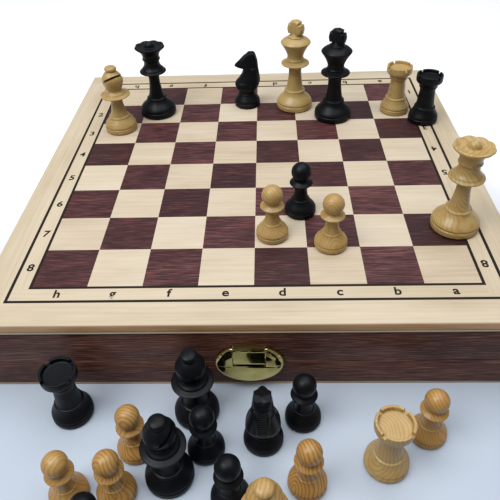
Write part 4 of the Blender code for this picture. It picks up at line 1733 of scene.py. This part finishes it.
        def bell(at_x: float, at_z: float, wide: float, tall: float, tilt: float) -> Array:
            """A smooth hill on the head's side: one at its middle, nothing a few widths away."""
            along = (x - at_x) * math.cos(tilt) + (z - at_z) * math.sin(tilt)
            up = (z - at_z) * math.cos(tilt) - (x - at_x) * math.sin(tilt)
            return np.exp(-(along / wide) ** 2 - (up / tall) ** 2)

        relief = sum(rise * bell(*hill) for rise, *hill in KNIGHT_RELIEF)
        y = y + np.sign(y) * relief * np.clip(side / 2.0, 0, 1)
        # Mane strip: stands proud as a flat wedge, finely combed across, with a step at its top
        strip = np.clip((z - 26) / 0.8, 0, 1) * np.clip((50.2 - z) / 0.5, 0, 1)
        width = 3.4 + 1.7 * np.clip((z - 27) / 23, 0, 1)
        inside = np.clip((width + 0.3 - np.abs(y)) / 0.4, 0, 1) * (x > mane[:, None] - 4)
        border = np.clip((np.abs(y) - width + 1.1) / 0.3, 0, 1)
        comb = np.abs(np.sin(z * TAU / 2 / 2.2)) ** 1.5
        x = x + strip * inside * (0.75 - (0.25 + 0.2 * comb) * (1 - border))
        # Ears: two peaks with a valley between and a hollow in front
        crown = np.clip((z - 53.2) / 2.6, 0, 1)
        z = z - 1.2 * crown * np.exp(-(y / 1.6) ** 2) - 0.9 * crown * np.clip((-x + 2) / 3, 0, 1)
        grid = np.stack([x, y, z], -1)
        crown_point = np.broadcast_to(grid[-1].mean(0), grid[-1].shape)
        floor_point = np.broadcast_to(np.array([0, 0, height[0]]), grid[0].shape)
        body = skin(np.concatenate([floor_point[None], grid, crown_point[None]]))
        return [skin(revolved(turning(KNIGHT_FOOT, 64), even_angles(self.steps))), body]

    def shells(self) -> list[Shell]:
        """The man about its own axis.

        Returns:
            Its shells.
        """
        if self.kind is Kind.PAWN:
            return [skin(revolved(turning(PAWN, 100), even_angles(self.steps)))]
        return {Kind.ROOK: self.rook, Kind.BISHOP: self.bishop, Kind.QUEEN: self.queen,
                Kind.KING: self.king, Kind.KNIGHT: self.knight}[self.kind]()

    def build(self) -> bpy.types.Object:
        """Turn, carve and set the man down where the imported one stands.

        Returns:
            The man.
        """
        white = self.node.startswith("white")
        tilt = math.radians(self.lean)
        lay = np.array([[math.cos(tilt), 0, math.sin(tilt)], [0, 1, 0],
                        [-math.sin(tilt), 0, math.cos(tilt)]])
        foot = self.foot()
        made = []
        for shell in self.shells():
            world = placed(shell, tuple(foot), self.turn)
            local = world.points - foot
            world.grain = local @ lay.T + np.array([*self.pith, 0.0])
            made.append(world)
        return make_piece(f"{self.node}_{'boxwood' if white else 'lacquered'}", made,
                          [self.palette.white if white else self.palette.black], self.node, [self.node],
                          (self.tone, self.figure), 55.0)


# Which way each man faces, where its log's pith was, the log's lean, the figure and the tone
MEN: dict[str, tuple[float, tuple[float, float], float, float, float]] = {
    "white_king": (-35, (60, 30), 4, 0.12, -0.15), "white_queen": (12, (26, -20), 62, 0.42, -0.1),
    "white_bishop_1": (45, (14, 26), 30, 0.35, -0.08), "white_bishop_2": (150, (22, -12), 9, 0.5, 0.05),
    "white_knight_1": (20, (30, 18), 8, 0.5, 0.05), "white_knight_2": (160, (28, -22), 6, 0.5, 0.0),
    "white_rook_1": (20, (46, 30), 20, 0.3, -0.08), "white_rook_2": (47, (5, 4), 9, 0.4, -0.02),
    "white_pawn_1": (40, (24, 12), 38, 0.3, -0.08), "white_pawn_2": (110, (-12, 20), 26, 0.4, 0.0),
    "white_pawn_3": (15, (-26, 14), 40, 0.75, 0.2), "white_pawn_4": (70, (16, -26), 20, 0.45, 0.2),
    "white_pawn_5": (130, (-4, 7), 12, 0.75, 0.22), "white_pawn_6": (55, (28, 8), 30, 0.5, 0.2),
    "white_pawn_7": (95, (7, 7), 14, 0.85, 0.25), "white_pawn_8": (20, (20, 10), 15, 0.6, 0.15),
    "black_king": (-32, (20, 20), 6, 0.5, 0.0), "black_queen": (0, (20, -20), 6, 0.5, 0.0),
    "black_bishop_1": (205, (25, 5), 6, 0.5, 0.0), "black_bishop_2": (95, (5, 25), 6, 0.5, 0.0),
    "black_knight_1": (0, (15, 9), 6, 0.5, 0.0), "black_knight_2": (-90, (9, 15), 6, 0.5, 0.0),
    "black_rook_1": (28, (12, 12), 6, 0.5, 0.0), "black_rook_2": (51, (6, 9), 6, 0.5, 0.0),
}


@dataclass
class ChessMen:
    """All thirty-two men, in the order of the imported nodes."""

    palette: Palette

    def build(self) -> list[bpy.types.Object]:
        """Make every man; a man missing from the table of logs is cut at a drawn place.

        Returns:
            The men.
        """
        rng = np.random.default_rng(5)
        made = []
        for node in sorted(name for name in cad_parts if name.startswith(("white_", "black_"))):
            drawn = (0.0, tuple(rng.uniform(-25, 25, 2)), float(rng.uniform(4, 14)), 0.5, 0.0)
            turn, pith, lean, figure, tone = MEN.get(node, drawn)
            made.append(Man(self.palette, node, turn, pith, lean, figure, tone).build())
        return made


# ---------------------------------------------------------------------------------------------
# Table, light and camera
# ---------------------------------------------------------------------------------------------
@dataclass
class Studio:
    """A pale table, soft light from above and the camera.

    Attributes:
        camera_place: Camera position in mm.
        azimuth: Degrees the camera looks away from +Y, to the right.
        elevation: Degrees it looks down.
        roll: Degrees it is rolled.
        lens: Focal length on a 36 mm sensor.
        table_near: Colour of the table in front.
        table_far_painted_light: Its colour behind: painted light, the white that the light washes the table
            out to there.
        table_half: Half the side of the table in mm.
        sky: Strength of the light from all round.
    """

    camera_place: tuple[float, float, float] = (11.0, -441.2, 346.8)
    azimuth: float = -2.62
    elevation: float = 41.235
    roll: float = -2.401
    lens: float = 40.09
    table_near: str = "#aeb8c4"
    table_far_painted_light: str = "#ffffff"
    table_half: float = 2600.0
    sky: float = 0.27

    def camera(self) -> bpy.types.Object:
        """Set up the camera: the view direction from azimuth and elevation, then the roll.

        Returns:
            The camera.
        """
        data = bpy.data.cameras.new("camera")
        data.lens, data.sensor_width = self.lens, 36.0
        data.clip_start, data.clip_end = 0.01, 30.0
        made = bpy.data.objects.new("camera", data)
        azimuth, elevation = math.radians(self.azimuth), math.radians(self.elevation)
        forward = Vector((math.sin(azimuth) * math.cos(elevation), math.cos(azimuth) * math.cos(elevation),
                          -math.sin(elevation)))
        right = forward.cross(Vector((0, 0, 1))).normalized()
        up = right.cross(forward)
        roll = math.radians(self.roll)
        rolled = right * math.cos(roll) + up * math.sin(roll)
        lifted = rolled.cross(forward)
        place = Vector(self.camera_place) * MM
        made.matrix_world = Matrix(((rolled.x, lifted.x, -forward.x, place.x),
                                    (rolled.y, lifted.y, -forward.y, place.y),
                                    (rolled.z, lifted.z, -forward.z, place.z), (0, 0, 0, 1)))
        bpy.context.scene.collection.objects.link(made)
        bpy.context.scene.camera = made
        return made

    def table(self) -> bpy.types.Object:
        """The table: one flat square whose colour grows paler towards the back, a painted light falloff.

        Returns:
            The table.
        """
        half = self.table_half * MM
        mesh = bpy.data.meshes.new("table")
        mesh.from_pydata([(-half, -half, -0.0002), (half, -half, -0.0002), (half, half, -0.0002),
                          (-half, half, -0.0002)], [], [(0, 1, 2, 3)])
        made = bpy.data.objects.new("table", mesh)
        finish = bpy.data.materials.new("table_paper_matt_painted_light")
        finish.use_nodes = True
        tree = finish.node_tree
        shader = tree.nodes["Principled BSDF"]
        place = add_node(tree, "ShaderNodeTexCoord")
        parts = add_node(tree, "ShaderNodeSeparateXYZ", None, {0: place.outputs["Object"]})
        # Painted light: the colour blends from the near colour to white towards the back, standing in for
        # the light that brightens the far table
        share = add_node(tree, "ShaderNodeMapRange", None,
                         {"Value": parts.outputs[1], "From Min": -0.2, "From Max": 0.12})
        colour = add_node(tree, "ShaderNodeValToRGB", None, {"Fac": share.outputs[0]},
                          [(0.0, srgb(self.table_near)), (1.0, srgb(self.table_far_painted_light))])
        tree.links.new(colour.outputs[0], shader.inputs["Base Color"])
        shader.inputs["Roughness"].default_value = 0.45
        mesh.materials.append(finish)
        bpy.context.scene.collection.objects.link(made)
        return made

    def curtain(self) -> bpy.types.Object:
        """A black cloth hung behind the camera, for the brass and the lacquer to mirror.

        Returns:
            The cloth.
        """
        half, near, top = 1.6, -1.3, 1.2
        mesh = bpy.data.meshes.new("curtain")
        mesh.from_pydata([(-half, near, 0.0), (half, near, 0.0), (half, near, top), (-half, near, top)], [],
                         [(0, 1, 2, 3)])
        made = bpy.data.objects.new("curtain", mesh)
        finish = bpy.data.materials.new("cloth_woven_black")
        finish.use_nodes = True
        shader = finish.node_tree.nodes["Principled BSDF"]
        shader.inputs["Base Color"].default_value = srgb("#141416")
        shader.inputs["Roughness"].default_value = 0.9
        mesh.materials.append(finish)
        bpy.context.scene.collection.objects.link(made)
        return made

    def lamp(self, name: str, place: tuple[float, float, float], aim: tuple[float, float, float],
             size: tuple[float, float], power: float, colour: str) -> None:
        """An oblong soft light.

        Args:
            name: Its name.
            place: Where it hangs, in metres.
            aim: The point it faces.
            size: Its sides.
            power: Its power in watts.
            colour: Its colour as sRGB hex.
        """
        data = bpy.data.lights.new(name, "AREA")
        data.shape, data.size, data.size_y = "RECTANGLE", *size
        data.energy, data.color = power, srgb(colour)[:3]
        made = bpy.data.objects.new(name, data)
        made.location = place
        made.rotation_euler = (Vector(aim) - Vector(place)).to_track_quat("-Z", "Y").to_euler()
        bpy.context.scene.collection.objects.link(made)

    def build(self) -> None:
        """Set the table, the lights and the camera."""
        scene = bpy.context.scene
        scene.view_settings.view_transform = "Standard"
        world = bpy.data.worlds.new("studio")
        world.use_nodes = True
        world.node_tree.nodes["Background"].inputs["Color"].default_value = srgb("#eef2f8")
        world.node_tree.nodes["Background"].inputs["Strength"].default_value = self.sky
        scene.world = world
        self.lamp("window", (-0.9, -0.6, 1.7), (0, 0, 0), (1.2, 1.0), 27.0, "#ffffff")
        self.lamp("ceiling", (0.3, 0.1, 2.0), (0, 0, 0), (2.2, 1.8), 36.0, "#f6f9ff")
        self.table()
        self.curtain()
        self.camera()


def main() -> None:
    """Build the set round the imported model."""
    logging.basicConfig(level=logging.INFO, format="%(name)s: %(message)s")
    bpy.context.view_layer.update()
    studio = Studio()
    studio.build()
    palette = Palette.build()
    BoardPanel(palette).build()
    Frames(palette).build()
    Clasp(palette).build()
    Hinges(palette).build()
    ChessMen(palette).build()


if __name__ == "__main__":
    main()
